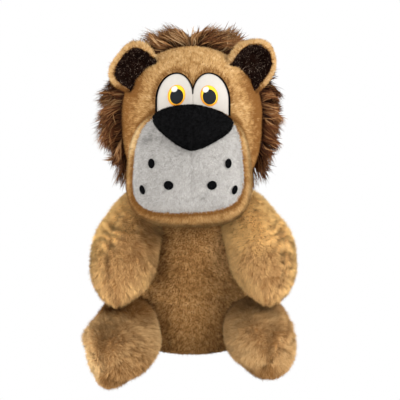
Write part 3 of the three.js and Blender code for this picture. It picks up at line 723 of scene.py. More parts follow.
SHOULDER = vec(42, -3, TORSO_HEIGHT - 24)
ELBOW = vec(59, -48, SHOULDER[2] - 28)
HAND = vec(67, -90, 55.5 + 2.2 + .8 * 26)
HAND_REACH, HAND_DIP = 22, .62
arm = Form(
    [SHOULDER + unit(SHOULDER - ELBOW) * 16, ELBOW, HAND,
     HAND - vec(0, HAND_REACH * math.sqrt(1 - HAND_DIP ** 2), HAND_REACH * HAND_DIP)],
    X_AXIS, wide=32, thick=26,
    table=[[0, .74, .8], [.3, .95, .95], [.55, 1, 1], [.78, .88, .92], [1, .62, .74]],
    start_round=26, end_round=44, squareness=2.1)

TAIL_ROOT = vec(0, 50, 27)
TUFT_Z = 12.5
tail = Form(
    [vec(0, 28, 27), vec(0, 89, (27 + TUFT_Z) / 2), vec(0, 128, TUFT_Z)], -X_AXIS, wide=7.5, thick=7.5,
    table=[[0, 1.15, 1.15], [.5, 1, 1], [1, .92, .92]], start_round=7.5, end_round=7.5)
tuft = Form(
    [vec(0, 111, TUFT_Z), vec(0, 157, TUFT_Z)], -X_AXIS, wide=13, thick=13,
    table=[[0, .7, .7], [.4, 1, 1], [1, .8, .8]], start_round=13, end_round=13)

# Colours
ROOT_TAN = cloth_material("tan_backing", (120, 82, 44), (156, 114, 66))
ROOT_LIMB = cloth_material("limb_backing", (146, 104, 60), (176, 132, 82))
ROOT_BROWN = cloth_material("brown_backing", (98, 66, 34), (130, 92, 52))
ROOT_MANE = cloth_material("mane_backing", (44, 24, 13), (74, 42, 22))
ROOT_WHITE = cloth_material("white_backing", (150, 147, 143), (174, 171, 167))
ROOT_BLACK = cloth_material("black_backing", (4, 4, 5), (12, 12, 13))
ROOT_DARK = cloth_material("dark_backing", (18, 9, 6), (32, 18, 12))

PILE_FACE = pile_material("face_pile", [(122, 80, 40), (191, 149, 95), (228, 196, 146)], .66, .9)
PILE_ARM = pile_material("arm_pile", [(138, 90, 44), (206, 162, 108), (254, 208, 136)], .8, .96)
PILE_LEG = pile_material("leg_pile", [(118, 76, 36), (190, 148, 98), (224, 186, 132)], .86, .96)
PILE_TORSO = pile_material("torso_pile", [(112, 74, 36), (192, 144, 88), (232, 186, 126)], .5, .82)
PILE_MANE = pile_material("mane_pile", [(40, 19, 10), (106, 62, 33), (162, 116, 72), (208, 172, 126)],
                          .34, .72, specular=.12)
PILE_WHITE = pile_material("white_pile", [(134, 131, 127), (175, 171, 166), (203, 199, 194)], .75, .92)
PILE_BLACK = pile_material("black_pile", [(2, 2, 2), (8, 8, 8), (34, 34, 35)], .6, .85)
# The dark pile's pale end colours the painted glints of the ear lining's sparkle.
PILE_DARK = pile_material("dark_pile", [(16, 8, 5), (38, 21, 15), (184, 160, 140)], .4, .8)

SATIN_GLINT = thread_material("glint_satin", [(198, 194, 187), (206, 202, 196), (214, 210, 204)], .45, .25)
SATIN_WHITE = thread_material("white_satin", [(174, 168, 160), (184, 178, 169), (194, 188, 178)], .45, .25)
THREAD_BLACK = thread_material("black_thread", [(2, 2, 3), (5, 5, 6), (12, 12, 14)], .7, .03)
THREAD_PUPIL = thread_material("pupil_thread", [(10, 13, 16), (20, 25, 29), (34, 40, 45)], .6, .15)
THREAD_YELLOW = thread_material("yellow_thread", [(232, 176, 24), (242, 200, 42), (248, 218, 78)], .5, .2)
THREAD_ORANGE = thread_material("orange_thread", [(208, 128, 20), (226, 150, 28), (238, 174, 42)], .5, .2)


# Torso
def torso_comb(p):
    curl = noise(p.at, 5, 5) * 3 * np.pi
    across = unit(np.cross(p.up, Z_AXIS) + 1e-6)
    return across * np.cos(curl)[:, None] * .6 + Z_AXIS * np.sin(curl)[:, None] * .6 - Z_AXIS


def torso_shade(p):
    # Painted shade: darker high on the front, under the chin (high), and near the floor (low). Painted light
    # on the right side beside the arm, lifting the arm's shadow (right).
    front = smooth(0, -40, p.y)
    high = smooth(116, 150, p.z)
    low = smooth(26, 4, p.z)
    right = smooth(12, 28, p.x) * bump(p.z, 98, 20) * front
    speckle = wave(p.at, 26, 11) * .22 + wave(p.at, 2.6, 12) * .42
    return speckle - .26 * high * front - .14 * low + .8 * right


torso_skin = Skin(torso_form(8), rows=44, caps=14, sides=96, outset=-2.2)
skin_object("torso_cloth", torso_skin, ROOT_BROWN,
            ["torso_front_skin", "torso_back_skin", "torso_filling"])
for seed, (word, front, back) in enumerate((("front", -99, -20), ("middle", -20, 22), ("back", 22, 99)), 20):
    grow(f"torso_pile_{word}", torso_skin, torso_comb, PILE_TORSO, "brown_pile",
         seed=seed, per_mm2=2.3, length=3.1, width=.7, lean=42, lump=2.2, gather=.3, stray=.5,
         shade=torso_shade, spread=.15, lump_shade=.12,
         keep=lambda p: (head.depth(p.at) > 1) & between(p.y, front, back))

# Head. The eyes are two arches that meet, drawn about EYES_X.
EYES_X, ARCH_X, ARCH_INNER, ARCH_OUTER, ARCH_TOP, ARCH_LOW = 1.2, 14.5, 14.6, 18.9, 268.6, 224.0
INNER_Z, OUTER_Z = 248.2, 243.5
EYES_BEFORE = -30
OVERLAP = .98


def face_comb(p):
    return p.at - vec(0, FACE_FRONT - 20, MUZZLE_Z + 36) + vec(0, 25, 0)


def near_eyes(at):
    """Below 1 inside the eye panel, and more outside."""
    x, z = abs(at[:, 0] - EYES_X) - ARCH_X, at[:, 2]
    half = np.where(x > 0, ARCH_OUTER, ARCH_INNER) + .6
    foot = np.where(x > 0, OUTER_Z, INNER_Z)
    rise = np.maximum(0, z - foot) / (ARCH_TOP + .6 - foot)
    return np.hypot(x / half, rise)


def face_keep(p):
    eyes = (near_eyes(p.at) < 1) & (p.y < EYES_BEFORE)
    clear = (muzzle.depth(p.at) > OVERLAP) & (torso.depth(p.at) > OVERLAP)
    return (p.y < FACE_EDGE + 8) & ~eyes & clear


def face_shade(p):
    fringe = bump(near_eyes(p.at), 1.06, .07) * (p.y < EYES_BEFORE) * (p.z > 240)
    # Painted shade: darker towards both edges of the face (left, right), beside the ears (by_ear), and in the
    # crease where the muzzle meets the face (crease). The fringe is dark hairs along the eye outline.
    left = smooth(-36, -66, p.x) * .55
    right = smooth(46, 64, p.x) * (.6 + .2 * smooth(215, 240, p.z))
    by_ear = smooth(34, 54, abs(p.x)) * smooth(238, 256, p.z) * .45
    crease = bump(muzzle.depth(p.at + vec(2, 0, 0)), 1.03, .05)
    blotch = wave(p.at, 8, 6) * .08 + wave(p.at, 2.2, 4) * .5
    return blotch - .95 * fringe * hashed(np.floor(p.at * 2.5), 7) - left - right - by_ear - .6 * crease


head_skin = Skin(head, rows=34, caps=26, sides=112, outset=-2.0)
skin_object("head_cloth", head_skin, ROOT_TAN, ["face_skin", "head_filling"])
grow("face_pile", head_skin, face_comb, PILE_FACE, "tan_pile",
     seed=31, per_mm2=2.5, length=3.2, width=.65, lean=55, lump=3.2, gather=.25, stray=.25,
     shade=face_shade, spread=.11, lump_shade=.12, keep=face_keep)

# Muzzle
PANEL_X = -2.7
PANEL_HALF, PANEL_UP, PANEL_DOWN = 48.3, 47.0, 41.5


def panel_side(at):
    """Below 1 on the white panel, seen from the front, and more outside it."""
    x, z = at[:, 0] - PANEL_X, at[:, 2]
    b = (z - .05 * x - MUZZLE_Z) / np.where(z > MUZZLE_Z, PANEL_UP, PANEL_DOWN)
    q = np.where(z > MUZZLE_Z, 3.1, 3.5)
    a = x / (PANEL_HALF * (1 - .07 * np.clip(b, -1, 1)))
    return (abs(a) ** q + abs(b) ** q) ** (1 / q)


def on_panel(at):
    return (panel_side(at) < 1) & (at[:, 1] < -72)


def lip_fold(at):
    """The crease that climbs to one side from the middle of the lip."""
    x, z = at[:, 0], at[:, 2]
    return bump(z - .45 * x, 160, 2.2) * smooth(-1, 3, x) * smooth(19, 13, x)


def cheek_dent(at):
    return bump(at[:, 0], -36, 8) * bump(at[:, 2] - .35 * at[:, 0], 226, 4)


def painted_fold(at):
    """Where a crisp fold beside the lower end of the muzzle's seam is painted: a painted highlight along it,
    with painted shade beside it. The skin has no such fold.
    """
    x, z = at[:, 0] - 7.3, at[:, 2] - 162.3
    return bump((x + z) * .7, 0, 6) * bump((z - x) * .7, 0, 1.1)


def muzzle_shift(skin):
    at = skin.vertices
    side = panel_side(at)
    centre = bump(at[:, 0], 2, 1.4) * smooth(150, 175, at[:, 2])
    drawn = -2.2 * bump(side, 1, .035) - .9 * centre - 1.8 * lip_fold(at) - 4.2 * cheek_dent(at)
    return smooth(-70, -85, at[:, 1]) * (drawn + .8 * smooth(1, .8, side))


def split_faces(skin, inside):
    """The skin's faces in two groups, by whether the middle of a face is inside."""
    within, without = [], []
    for faces in (skin.quads, skin.tris):
        found = inside(skin.vertices[faces].mean(1))
        within.append(faces[found])
        without.append(faces[~found])
    return within, without


muzzle_skin = Skin(muzzle, rows=24, caps=34, sides=160, shift=muzzle_shift, outset=-1.8)
muzzle_skin.vertices[:, 0] += MUZZLE_ASIDE
panel_faces, band_faces = split_faces(muzzle_skin, on_panel)
place(mesh_object("muzzle_band_cloth", muzzle_skin.vertices, band_faces, ROOT_TAN),
      ["muzzle_band", "muzzle_filling"])
place(mesh_object("muzzle_panel_cloth", muzzle_skin.vertices, panel_faces, ROOT_WHITE),
      ["muzzle_panel_left", "muzzle_panel_right"])


def muzzle_comb(p):
    return p.at - vec(0, -100, MUZZLE_Z + 30) - Z_AXIS * 8


def band_comb(p):
    return p.at - vec(0, -60, MUZZLE_Z)


def band_shade(p):
    # Painted light and shade: lighter at the top and darker at the bottom (high, low), painted shade on the
    # sides that turn away (turned), and on the left, with painted light at the upper left (shaded). The seam
    # is the dark thread line along the white panel.
    low = smooth(165, 140, p.z)
    high = smooth(185, 212, p.z)
    turned = smooth(.25, -.05, -p.up[:, 1]) * .4
    side = panel_side(p.at)
    seam = .55 * bump(side, 1, .035) + .5 * bump(side, 1.035, .035) * smooth(168, 158, p.z)
    shaded = .22 * smooth(-30, -55, p.x) - .5 * smooth(-34, -46, p.x) * smooth(190, 205, p.z)
    return wave(p.at, 5, 13) * .3 + .04 + .2 * high - seam - .2 * low - turned - shaded


def white_shade(p):
    # Painted shade on the panel's left, lighter towards the bottom (low). Along the lip fold, painted shade
    # with a painted highlight above it; painted shade in the cheek dent; along the painted fold, a painted
    # highlight with painted shade beside it (creased).
    low = -.4 * smooth(215, 150, p.z) + 2.2 * smooth(0, -45, p.x)
    creased = .14 * lip_fold(p.at) + .3 * cheek_dent(p.at) - .3 * lip_fold(p.at - Z_AXIS * 4)
    creased = creased - .45 * painted_fold(p.at) + .2 * painted_fold(p.at - vec(1.2, 0, -1.2))
    return wave(p.at, 16, 17) * .2 + wave(p.at, 2.5, 18) * .3 - .1 * low - creased


grow("muzzle_white_pile", muzzle_skin, muzzle_comb, PILE_WHITE, "white_pile",
     seed=51, per_mm2=2.6, length=2.2, width=.6, lean=58, lump=2.0, gather=.25, stray=.35,
     shade=white_shade, spread=.12, keep=lambda p: on_panel(p.at) & (abs(p.x) > .25))
grow("muzzle_band_pile", muzzle_skin, band_comb, PILE_FACE, "tan_pile",
     seed=52, per_mm2=2.4, length=3.4, width=.65, lean=48, lump=2.4, gather=.2, stray=.3,
     shade=band_shade, spread=.12, keep=lambda p: ~on_panel(p.at) & (head.depth(p.at) > .97))

# Nose
NOSE_HALF = (35.4, 20.5, 16.0)
NOSE_ROLL, NOSE_TILT = math.radians(4.5), math.radians(20)
NOSE_AT = vec(1.0, MUZZLE_FRONT[1] + 10, MUZZLE_Z + 32.2)
NOSE_OUTLINE = [
    (1, .36), (.86, .66), (.5, .92), (0, 1.04), (-.5, .92), (-.86, .66), (-1, .36),
    (-.9, -.02), (-.62, -.44), (-.3, -.8), (0, -.96), (.3, -.8), (.62, -.44), (.9, -.02),
]
NOSE_RINGS, NOSE_SIDES = 22, 96
LOOP_STEPS = 24


def closed_loop(points, count):
    """A smooth closed curve through the points, read at even steps."""
    pts = [vec(*p) for p in points]
    run = [pts[-1], *pts, pts[0], pts[1]]
    line = []
    for k in range(len(pts)):
        a, b, c, d = run[k:k + 4]
        shares = np.linspace(0, 1, LOOP_STEPS, endpoint=False)
        line += [hermite(b, c, (c - a) / 2, (d - b) / 2, t) for t in shares]
    line = np.array(line + [line[0]])
    arc = np.concatenate([[0], np.cumsum(np.linalg.norm(np.diff(line, axis=0), axis=1))])
    at = np.linspace(0, arc[-1], count, endpoint=False)
    return np.stack([np.interp(at, arc, line[:, k]) for k in range(line.shape[1])], -1)


def rolled(points, first, second, angle):
    """Points turned in the plane of two axes, from the second to the first."""
    c, s = math.cos(angle), math.sin(angle)
    out = points.copy()
    out[:, first] = points[:, first] * c + points[:, second] * s
    out[:, second] = points[:, second] * c - points[:, first] * s
    return out


class NoseSkin(Skin):
    """A pillow with the nose's outline, drawn in a little along the middle of its lower half."""

    def __init__(self):
        outline = closed_loop([(x * NOSE_HALF[0], z * NOSE_HALF[1]) for x, z in NOSE_OUTLINE], NOSE_SIDES)
        turns = np.pi / 2 * np.arange(1 - NOSE_RINGS, NOSE_RINGS) / NOSE_RINGS
        size = np.cos(turns) ** .75
        grid = np.zeros((len(turns), NOSE_SIDES, 3))
        grid[..., 0] = outline[None, :, 0] * size[:, None]
        grid[..., 2] = outline[None, :, 1] * size[:, None]
        grid[..., 1] = (-NOSE_HALF[2] * np.sin(turns))[:, None]
        front = np.maximum(0, np.sin(turns))[:, None]
        grid[..., 1] += front * 2.0 * bump(grid[..., 0], 0, 1.6) * (grid[..., 2] < 2)
        poles = vec(0, NOSE_HALF[2], 0), vec(0, -NOSE_HALF[2] + .5, 0)
        points = np.concatenate([grid.reshape(-1, 3), np.stack(poles)])
        self.vertices = rolled(rolled(points, 1, 2, NOSE_TILT), 0, 2, NOSE_ROLL) + NOSE_AT
        self.share = self.cos = self.sin = np.zeros(len(points))
        self.build_faces(len(turns), NOSE_SIDES)
        self.find_normals()


nose_skin = NoseSkin()
skin_object("nose_cloth", nose_skin, ROOT_BLACK, ["nose_skin", "nose_filling"])
grow("nose_pile", nose_skin, lambda p: p.at - NOSE_AT + vec(0, 0, 4), PILE_BLACK, "black_pile",
     seed=61, per_mm2=2.4, length=1.7, width=.6, lean=55, lump=2, gather=.2, stray=.4, spread=.16,
     keep=lambda p: (muzzle.depth(p.at) > .99) & (head.depth(p.at) > 1))

# Patches: eyes and whisker dots
head_tree, muzzle_tree = head_skin.tree(), muzzle_skin.tree()
OVAL_SIDES = 48
PATCH_SUNK = 2.5
BEFORE_ALL = -300
PANEL_LIFT, RIM_LIFT, IRIS_LIFT, PUPIL_LIFT, GLINT_LIFT = 3.0, 3.4, 3.6, 3.9, 4.2
DOT_LIFT, OUTLINE_LIFT = 1.8, 3.2
PANEL_MIDDLE_Z = 243.0
SIDES = ((1, "left"), (-1, "right"))


def onto(tree, x, z, lift):
    """The place before (x, z) on a skin seen from the front, lifted off it by lift."""
    hit, normal, _, _ = tree.ray_cast(Vector((x, BEFORE_ALL, z)), Vector((0, 1, 0)))
    if hit is None:
        raise ValueError(f"nothing stands behind {x}, {z}")
    return np.array(hit) - vec(0, lift / max(abs(normal.y), .4), 0)


def patch(name, tree, outline, centre, lift, material, replaced=(), *, rings, crown, sunk=PATCH_SUNK):
    """A patch that lies on a skin: rings of its outline drawn in to the centre, with a turned-down edge."""
    n = len(outline)
    shares = [1.0, .985, .95, *np.linspace(.88, .06, rings)]
    lifts = [lift - .5, lift - .12, lift, *[lift + crown * (1 - s) for s in shares[3:]]]
    rows = [[onto(tree, x, z, lift - sunk) for x, z in outline]]
    for s, h in zip(shares, lifts):
        rows.append([onto(tree, x, z, h) for x, z in centre + (outline - centre) * s])
    poles = [onto(tree, *centre, lift + crown), onto(tree, *centre, lift - sunk)]
    vertices = np.array([*sum(rows, []), *poles])
    j = np.arange(n)
    k = (j + 1) % n
    faces = [np.stack([i * n + j, i * n + k, (i + 1) * n + k, (i + 1) * n + j], -1)
             for i in range(len(rows) - 1)]
    last = (len(rows) - 1) * n
    top = np.stack([last + j, last + k, np.full(n, len(vertices) - 2)], -1)
    under = np.stack([k, j, np.full(n, len(vertices) - 1)], -1)
    tris = np.stack([top, under], 1).reshape(-1, 3)
    return place(mesh_object(name, vertices, [np.concatenate(faces), tris], material), replaced)


def oval(x, z, half_x, half_z, turn):
    """An outline that runs clockwise seen from the front, so its patch faces the viewer."""
    t = -2 * np.pi * np.arange(OVAL_SIDES) / OVAL_SIDES
    c, s = math.cos(turn), math.sin(turn)
    a, b = half_x * np.cos(t), half_z * np.sin(t)
    return np.stack([x + a * c - b * s, z + a * s + b * c], -1)[::-1]


def arch_line(side, margin, tail=0.0):
    """The arch's edge from its outer foot over the top to the cusp between the arches."""
    outer, inner = ARCH_OUTER + margin, ARCH_INNER + margin
    high = ARCH_TOP + margin
    line = [(ARCH_X + outer, z) for z in np.linspace(ARCH_LOW, OUTER_Z, 8, endpoint=False)]
    line += [(ARCH_X + outer * math.cos(t), OUTER_Z + (high - OUTER_Z) * math.sin(t))
             for t in np.linspace(0, math.pi / 2, 22, endpoint=False)]
    last = math.pi - math.acos(min(1, ARCH_X / inner))
    line += [(ARCH_X + inner * math.cos(t), INNER_Z + (high - INNER_Z) * math.sin(t))
             for t in np.linspace(math.pi / 2, last, 22)]
    if tail:
        line += [(0.0, line[-1][1] - tail * k / 3) for k in (1, 2, 3)]
    return np.array(line) * vec(side, 1) + vec(EYES_X, 0)


for side, word in SIDES:
    edge = arch_line(side, 0)
    down = np.array([(EYES_X, z) for z in np.linspace(edge[-1, 1], ARCH_LOW, 12)[1:]])
    foot = np.array([(EYES_X + side * x, ARCH_LOW) for x in np.linspace(0, ARCH_X + ARCH_OUTER, 12)[1:-1]])
    outline = np.concatenate([edge, down, foot])[::side]
    middle = vec(EYES_X + side * ARCH_X, PANEL_MIDDLE_Z)
    patch(f"eye_panel_cloth_{word}", head_tree, outline, middle, PANEL_LIFT, SATIN_WHITE,
          ["eye_panel"] if side > 0 else (), rings=14, crown=0)
    x, z, tilt = (16.3, 248.6, .28) if side > 0 else (-13.8, 249.0, -.28)
    patch(f"iris_rim_{word}", head_tree, oval(x, z, 8.1, 9.7, tilt), vec(x, z), RIM_LIFT,
          THREAD_ORANGE, rings=5, crown=.1)
    patch(f"iris_thread_{word}", head_tree, oval(x + .2, z + .5, 7.3, 8.8, tilt), vec(x, z), IRIS_LIFT,
          THREAD_YELLOW, [f"iris_{word}"], rings=6, crown=.2)
    x, z = x + .2, z - .9
    patch(f"pupil_thread_{word}", head_tree, oval(x, z, 6.2, 7.0, tilt), vec(x, z), PUPIL_LIFT,
          THREAD_PUPIL, [f"pupil_{word}"], rings=5, crown=.2)
    x, z = (13.1, 254.3) if side > 0 else (-15.7, 254.7)
    patch(f"eye_glint_{word}", head_tree, oval(x, z, 3.0, 2.5, .6), vec(x, z), GLINT_LIFT,
          SATIN_GLINT, [f"eye_highlight_{word}"], rings=4, crown=.1)

DOTS = (
    ("upper", 34.2, 191.0, (2.9, 4.2), -.05, -1.2),
    ("outer", 41.2, 167.5, (2.4, 4.1), -.3, -2.4),
    ("inner", 19.2, 172.3, (4.3, 3.9), .25, -.8),
)
for kind, x, z, half, tilt, aside in DOTS:
    for side, word in SIDES:
        middle = side * x + aside
        outline = oval(middle, z, *half, side * tilt)
        patch(f"dot_thread_{kind}_{word}", muzzle_tree, outline, vec(middle, z), DOT_LIFT, THREAD_BLACK,
              [f"whisker_dot_{kind}_{word}"], rings=4, crown=.2, sunk=2.2)

TUBE_SIDES = 8


def tube(name, path, radii, material, replaced):
    """A thin closed tube along a path."""
    path = np.asarray(path, float)
    ahead = unit(np.gradient(path, axis=0))
    side = unit(np.cross(ahead, Z_AXIS + X_AXIS * .01))
    rise = np.cross(side, ahead)
    turn = 2 * np.pi * np.arange(TUBE_SIDES) / TUBE_SIDES
    c, s = np.cos(turn)[None, :, None], np.sin(turn)[None, :, None]
    rings = path[:, None] + radii[:, None, None] * (side[:, None] * c + rise[:, None] * s)
    vertices = np.concatenate([rings.reshape(-1, 3), path[:1], path[-1:]])
    n, m = len(path), TUBE_SIDES
    quads = [(i * m + j, (i + 1) * m + j, (i + 1) * m + (j + 1) % m, i * m + (j + 1) % m)
             for i in range(n - 1) for j in range(m)]
    tris = [(n * m, j, (j + 1) % m) for j in range(m)]
    tris += [(n * m + 1, (n - 1) * m + (j + 1) % m, (n - 1) * m + j) for j in range(m)]
    obj = mesh_object(name, vertices, [np.array(quads), np.array(tris)], material)
    return place(obj, replaced)


for side, word in SIDES:
    path = [onto(head_tree, x, z, OUTLINE_LIFT) for x, z in arch_line(side, .5, tail=3.5)]
    radii = np.interp(np.arange(len(path)), [0, 16, 30, len(path) - 1], [.95, .9, .6, .5])
    tube(f"eye_outline_thread_{word}", path, radii, THREAD_BLACK,
         ["eye_outline"] if side > 0 else ())


# Ears
def spun(v, axis, angle):
    """v turned about an axis."""
    c, s = math.cos(angle), math.sin(angle)
    return v * c + np.cross(axis, v) * s + axis * (axis @ v) * (1 - c)


class EarSkin(Skin):
    """A shallow cup with a rolled rim, for the toy's left side."""

    def __init__(self, root, lean, turn, half, height, power, table):
        self.power = power
        self.along = vec(math.sin(lean), 0, math.cos(lean))
        self.across = spun(vec(math.cos(lean), 0, -math.sin(lean)), self.along, turn)
        self.mouth = np.cross(self.across, self.along)
        self.root, self.half, self.height = root, half, height
        form = Form([root, root + self.along * height], self.across, half, 10, table, height * .33, half,
                    power=power)
        super().__init__(form, rows=26, caps=16, sides=96, outset=-1.6, shift=lambda skin: skin.cup_depth())

    def reach(self, points):
        q = points - self.root
        across, along = q @ self.across / self.half, q @ self.along / self.height
        beyond = np.maximum(0, along - .58) / .42
        return (abs(across * 1.02) ** self.power + beyond ** self.power) ** (1 / self.power)

    def before(self, points):
        """How far points stand before the ear's root, the way its mouth looks."""
        return (points - self.root) @ self.mouth

    def cup_depth(self):
        facing = self.normals @ self.mouth
        return -10.0 * smooth(.84, .4, self.reach(self.vertices)) * smooth(-.1, .5, facing)

    def lined(self, points):
        """Whether the lining's cloth is at these points."""
        return (self.reach(points) < .76) & (self.before(points) > -4)

    def in_cup(self, p):
        return (self.reach(p.at) < .78) & (self.before(p.at) > -8) & (p.up @ self.mouth > .1)

    def covers(self, points):
        """Whether an ear stands before these points or around them."""
        above = (points - self.root) @ self.along > 0
        return above & (self.reach(points) < 1.12) & (points[:, 1] < self.root[1] + 26)


def ear_shade(p):
    # Painted shade on the ear's lower end, where it meets the head.
    return .1 - .9 * smooth(HEAD_TOP - 33, HEAD_TOP - 41, p.z)


def lining_comb(p):
    return noise(p.at, 3, 9)[:, None] * X_AXIS + noise(p.at, 3, 10)[:, None] * Z_AXIS - .5


EAR_Y, EAR_Z = HEAD_Y - 20, HEAD_TOP - 43
EARS = (
    (1, "left", EarSkin(
        vec(38.3, EAR_Y, EAR_Z), lean=math.radians(36), turn=math.radians(8), half=22.6, height=57, power=2.0,
        table=[[0, .8, 1], [.35, .98, 1], [.65, 1, 1], [1, .8, .9]])),
    (-1, "right", EarSkin(
        vec(25.7, EAR_Y - 5, EAR_Z), lean=math.radians(52), turn=math.radians(4), half=25.4, height=56,
        power=3.2, table=[[0, .5, 1], [.35, .72, 1], [.52, .9, 1], [.7, 1, 1], [1, .96, .9]])),
)

for side, word, ear in EARS:
    skin = ear if side > 0 else mirror_skin(ear)
    flip = vec(side, 1, 1)
    cup_faces, rim_faces = split_faces(skin, lambda points: ear.lined(points * flip))
    place(mesh_object(f"ear_cloth_{word}", skin.vertices, rim_faces, ROOT_TAN),
          [f"ear_back_{word}"])
    place(mesh_object(f"ear_lining_cloth_{word}", skin.vertices, cup_faces, ROOT_DARK))
    grow(f"ear_pile_{word}", skin, lambda p: (p.at * flip - ear.root - ear.along * ear.height / 2) * flip,
         PILE_FACE, "tan_pile", seed=71, per_mm2=2.4, length=3.4, width=.65, lean=50, lump=2.4, gather=.2,
         stray=.3, shade=ear_shade, spread=.12,
         keep=lambda p: ~ear.in_cup(p.flipped(flip)) & (head.depth(p.at) > OVERLAP))
    # The lining's sparkle is painted: scattered strands take the pale end of the dark pile, as painted
    # glints.
    lining = grow(f"ear_lining_pile_{word}", skin, lining_comb, PILE_DARK, "dark_pile",
                  seed=73, per_mm2=4.6, length=2.2, width=.5, lean=50, lump=2.4, gather=.4, stray=.8,
                  shade=lambda p: .5 * (hashed(np.floor(p.at * 40), 3) > .955) - .2, spread=.1, lump_shade=.2,
                  keep=lambda p: ear.in_cup(p.flipped(flip)) & (head.depth(p.at) > OVERLAP))
    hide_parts(f"ear_lining_{word}")


# Mane
def mane_comb(p):
    out = p.at - vec(0, 20, MANE_Z)
    out[:, 1] = 0
    out = unit(out)
    back = smooth(10, 60, p.y)[:, None]
    top = smooth(MANE_Z + 35, MANE_Z + 60, p.z)[:, None]
    way = vec(0, -.6, -.55) * (1 - top) + vec(0, -.25, .3) * top + X_AXIS * np.sign(p.at[:, :1]) * .55 * top
    return (out * (1.1 - .5 * top) + way) * (1 - back) + vec(0, .3, -1) * back


def mane_length(p):
    top = smooth(MANE_Z + 40, MANE_Z + 75, p.z)
    low = smooth(MANE_Z - 30, MANE_Z - 70, p.z)
    dip = bump(p.x, 1, 4.5) * top
    right = smooth(40, 70, p.x)
    left = smooth(-40, -60, p.x) * bump(p.z, 226, 16)
    return 16.5 + 4.2 * top + (14 + 9 * right) * low - 6 * dip - 2 * right + 4 * left


def mane_shade(p):
    top = smooth(MANE_Z + 30, MANE_Z + 75, p.z)
    right = smooth(0, 30, p.x)
    return -.14 + .2 * top + .1 * top * right - .12 * right * (1 - top) + wave(p.at, 14, 8) * .34


def mane_keep(p):
    covered = np.zeros(len(p.at), bool)
    for side, _, ear in EARS:
        covered |= ear.covers(p.at * vec(side, 1, 1))
    return (head.depth(p.at) > 1.0) & (torso.depth(p.at) > 1.0) & ~covered


mane_skin = Skin(mane_root, rows=30, caps=14, sides=120)
skin_object("mane_cloth", mane_skin, ROOT_MANE, ["mane"])
for part, (per_mm2, front, back) in enumerate(((1.3, -99, -6), (.8, -6, 22), (.36, 22, 99))):
    grow(f"mane_pile_{part + 1}", mane_skin, mane_comb, PILE_MANE, "mane_pile",
         seed=41 + part, per_mm2=per_mm2, length=mane_length, width=1.15, lean=44, lump=7.5, gather=.62,
         stray=.2, swirl=.9, shade=mane_shade, spread=.19, lump_shade=.17, uneven=.22, lump_uneven=.3,
         segments=4, droop=.08, curl=3.2,
         keep=lambda p: mane_keep(p) & between(p.y, front, back))


# Limbs
def limb_waves(points, size, seed):
    return wave(points, size, seed) * 2


def dress_limb(kind, side, skin, hinge, fill, comb, shade, material, keep, **pile):
    """Cloth and pile of an arm or leg. All that's given is for the toy's left, and mirrored for its right."""
    word = "left" if side > 0 else "right"
    flip = vec(side, 1, 1)
    body, slot = f"{kind}_{word}", f"{kind}_pile"
    hinge = tuple(point * flip for point in hinge)
    if side < 0:
        skin = mirror_skin(skin)
    skin_object(f"{kind}_cloth_{word}", skin, ROOT_LIMB,
                [f"{kind}_skin_{word}", f"{kind}_filling_{word}"], body, hinge)
    grow(f"{kind}_pile_{word}", skin, lambda p: comb(p.flipped(flip)) * flip, material, slot,
         lean=56, lump=4.2, gather=.3, stray=.22, swirl=.45, spread=.12, keep=keep, body=body, hinge=hinge,
         shade=lambda p: shade(p.flipped(flip)), **pile)


# Arms
def arm_shift(skin, seam_at):
    angle = angle_round(skin)
    seam = bump(angle, seam_at, .06) * smooth(.3, .5, skin.share)
    near = bump(angle, seam_at - .1, .4) * bump(skin.share, .62, .2)
    folds = np.sin(skin.vertices[:, 2] * .55 + limb_waves(skin.vertices, 14, 4) * 6) * near
    inner = smooth(.1, .9, -skin.cos) * bump(skin.share, .36, .2)
    return -2.3 * seam + 2.2 * folds - 5 * inner + 1.1 * limb_waves(skin.vertices, 22, 6)


def arm_comb(p):
    near = bump(np.linalg.norm(p.at - vec(84, -62, 100), axis=1), 0, 22)[:, None]
    away = unit(p.at - vec(86, -60, 98)) * near
    return vec(.15, -.35, -.95) + away * 1.6 + X_AXIS * wave(p.at, 24, 2)[:, None] * 1.2


def arm_shade(p, seam_at, lit, dim):
    angle = angle_round(p)
    # Painted shade in the seam's groove (seam), and under the muzzle on the toy's right arm, which is also
    # darker in its middle (dimmed). Painted light on the sides (sides), and on the top and the right arm's
    # outer upper side (top).
    seam = bump(angle, seam_at, .07) * smooth(.25, .4, p.share)
    dimmed = dim * (.5 * smooth(60, 42, p.x) * smooth(100, 122, p.z) + .24 * bump(p.share, .62, .2))
    sides = smooth(.45, 1, abs(p.cos)) * .22
    top = smooth(95, 140, p.z) * lit + .6 * dim * smooth(60, 78, p.x) * bump(p.z, 124, 24)
    folds = wave(p.at, 6, 14) * bump(angle, seam_at, .45) * bump(p.share, .62, .22)
    streak = wave(p.at * vec(1, 1, .35), 2.6, 15)
    tip = smooth(.7, .95, p.share)
    return wave(p.at, 24, 12) * .2 + streak * .34 + folds * .8 - .2 * seam + sides + top - .1 * tip - dimmed


ARM_HINGE = (SHOULDER + vec(-4, 4, 4), SHOULDER + vec(18, -18, -18))
# lit and dim say how much painted light each arm's top gets, and whether it gets the painted shade under the
# muzzle.
for side, seed, degrees, lit, dim in ((-1, 82, 68, .5, 1), (1, 81, 52, .62, 0)):
    seam_at = math.radians(degrees)
    arm_skin = Skin(arm, rows=44, caps=16, sides=112, outset=-2.6,
                    shift=lambda skin: arm_shift(skin, seam_at))
    if side > 0:
        arm_skin.vertices += vec(3.2, 0, 1.5) * smooth(.22, .66, arm_skin.share)[:, None]
    dress_limb("arm", side, arm_skin, ARM_HINGE, .75, arm_comb, lambda p: arm_shade(p, seam_at, lit, dim),
               PILE_ARM, lambda p: torso.depth(p.at) > .97, seed=seed, per_mm2=2.7, length=6.0, width=.7)

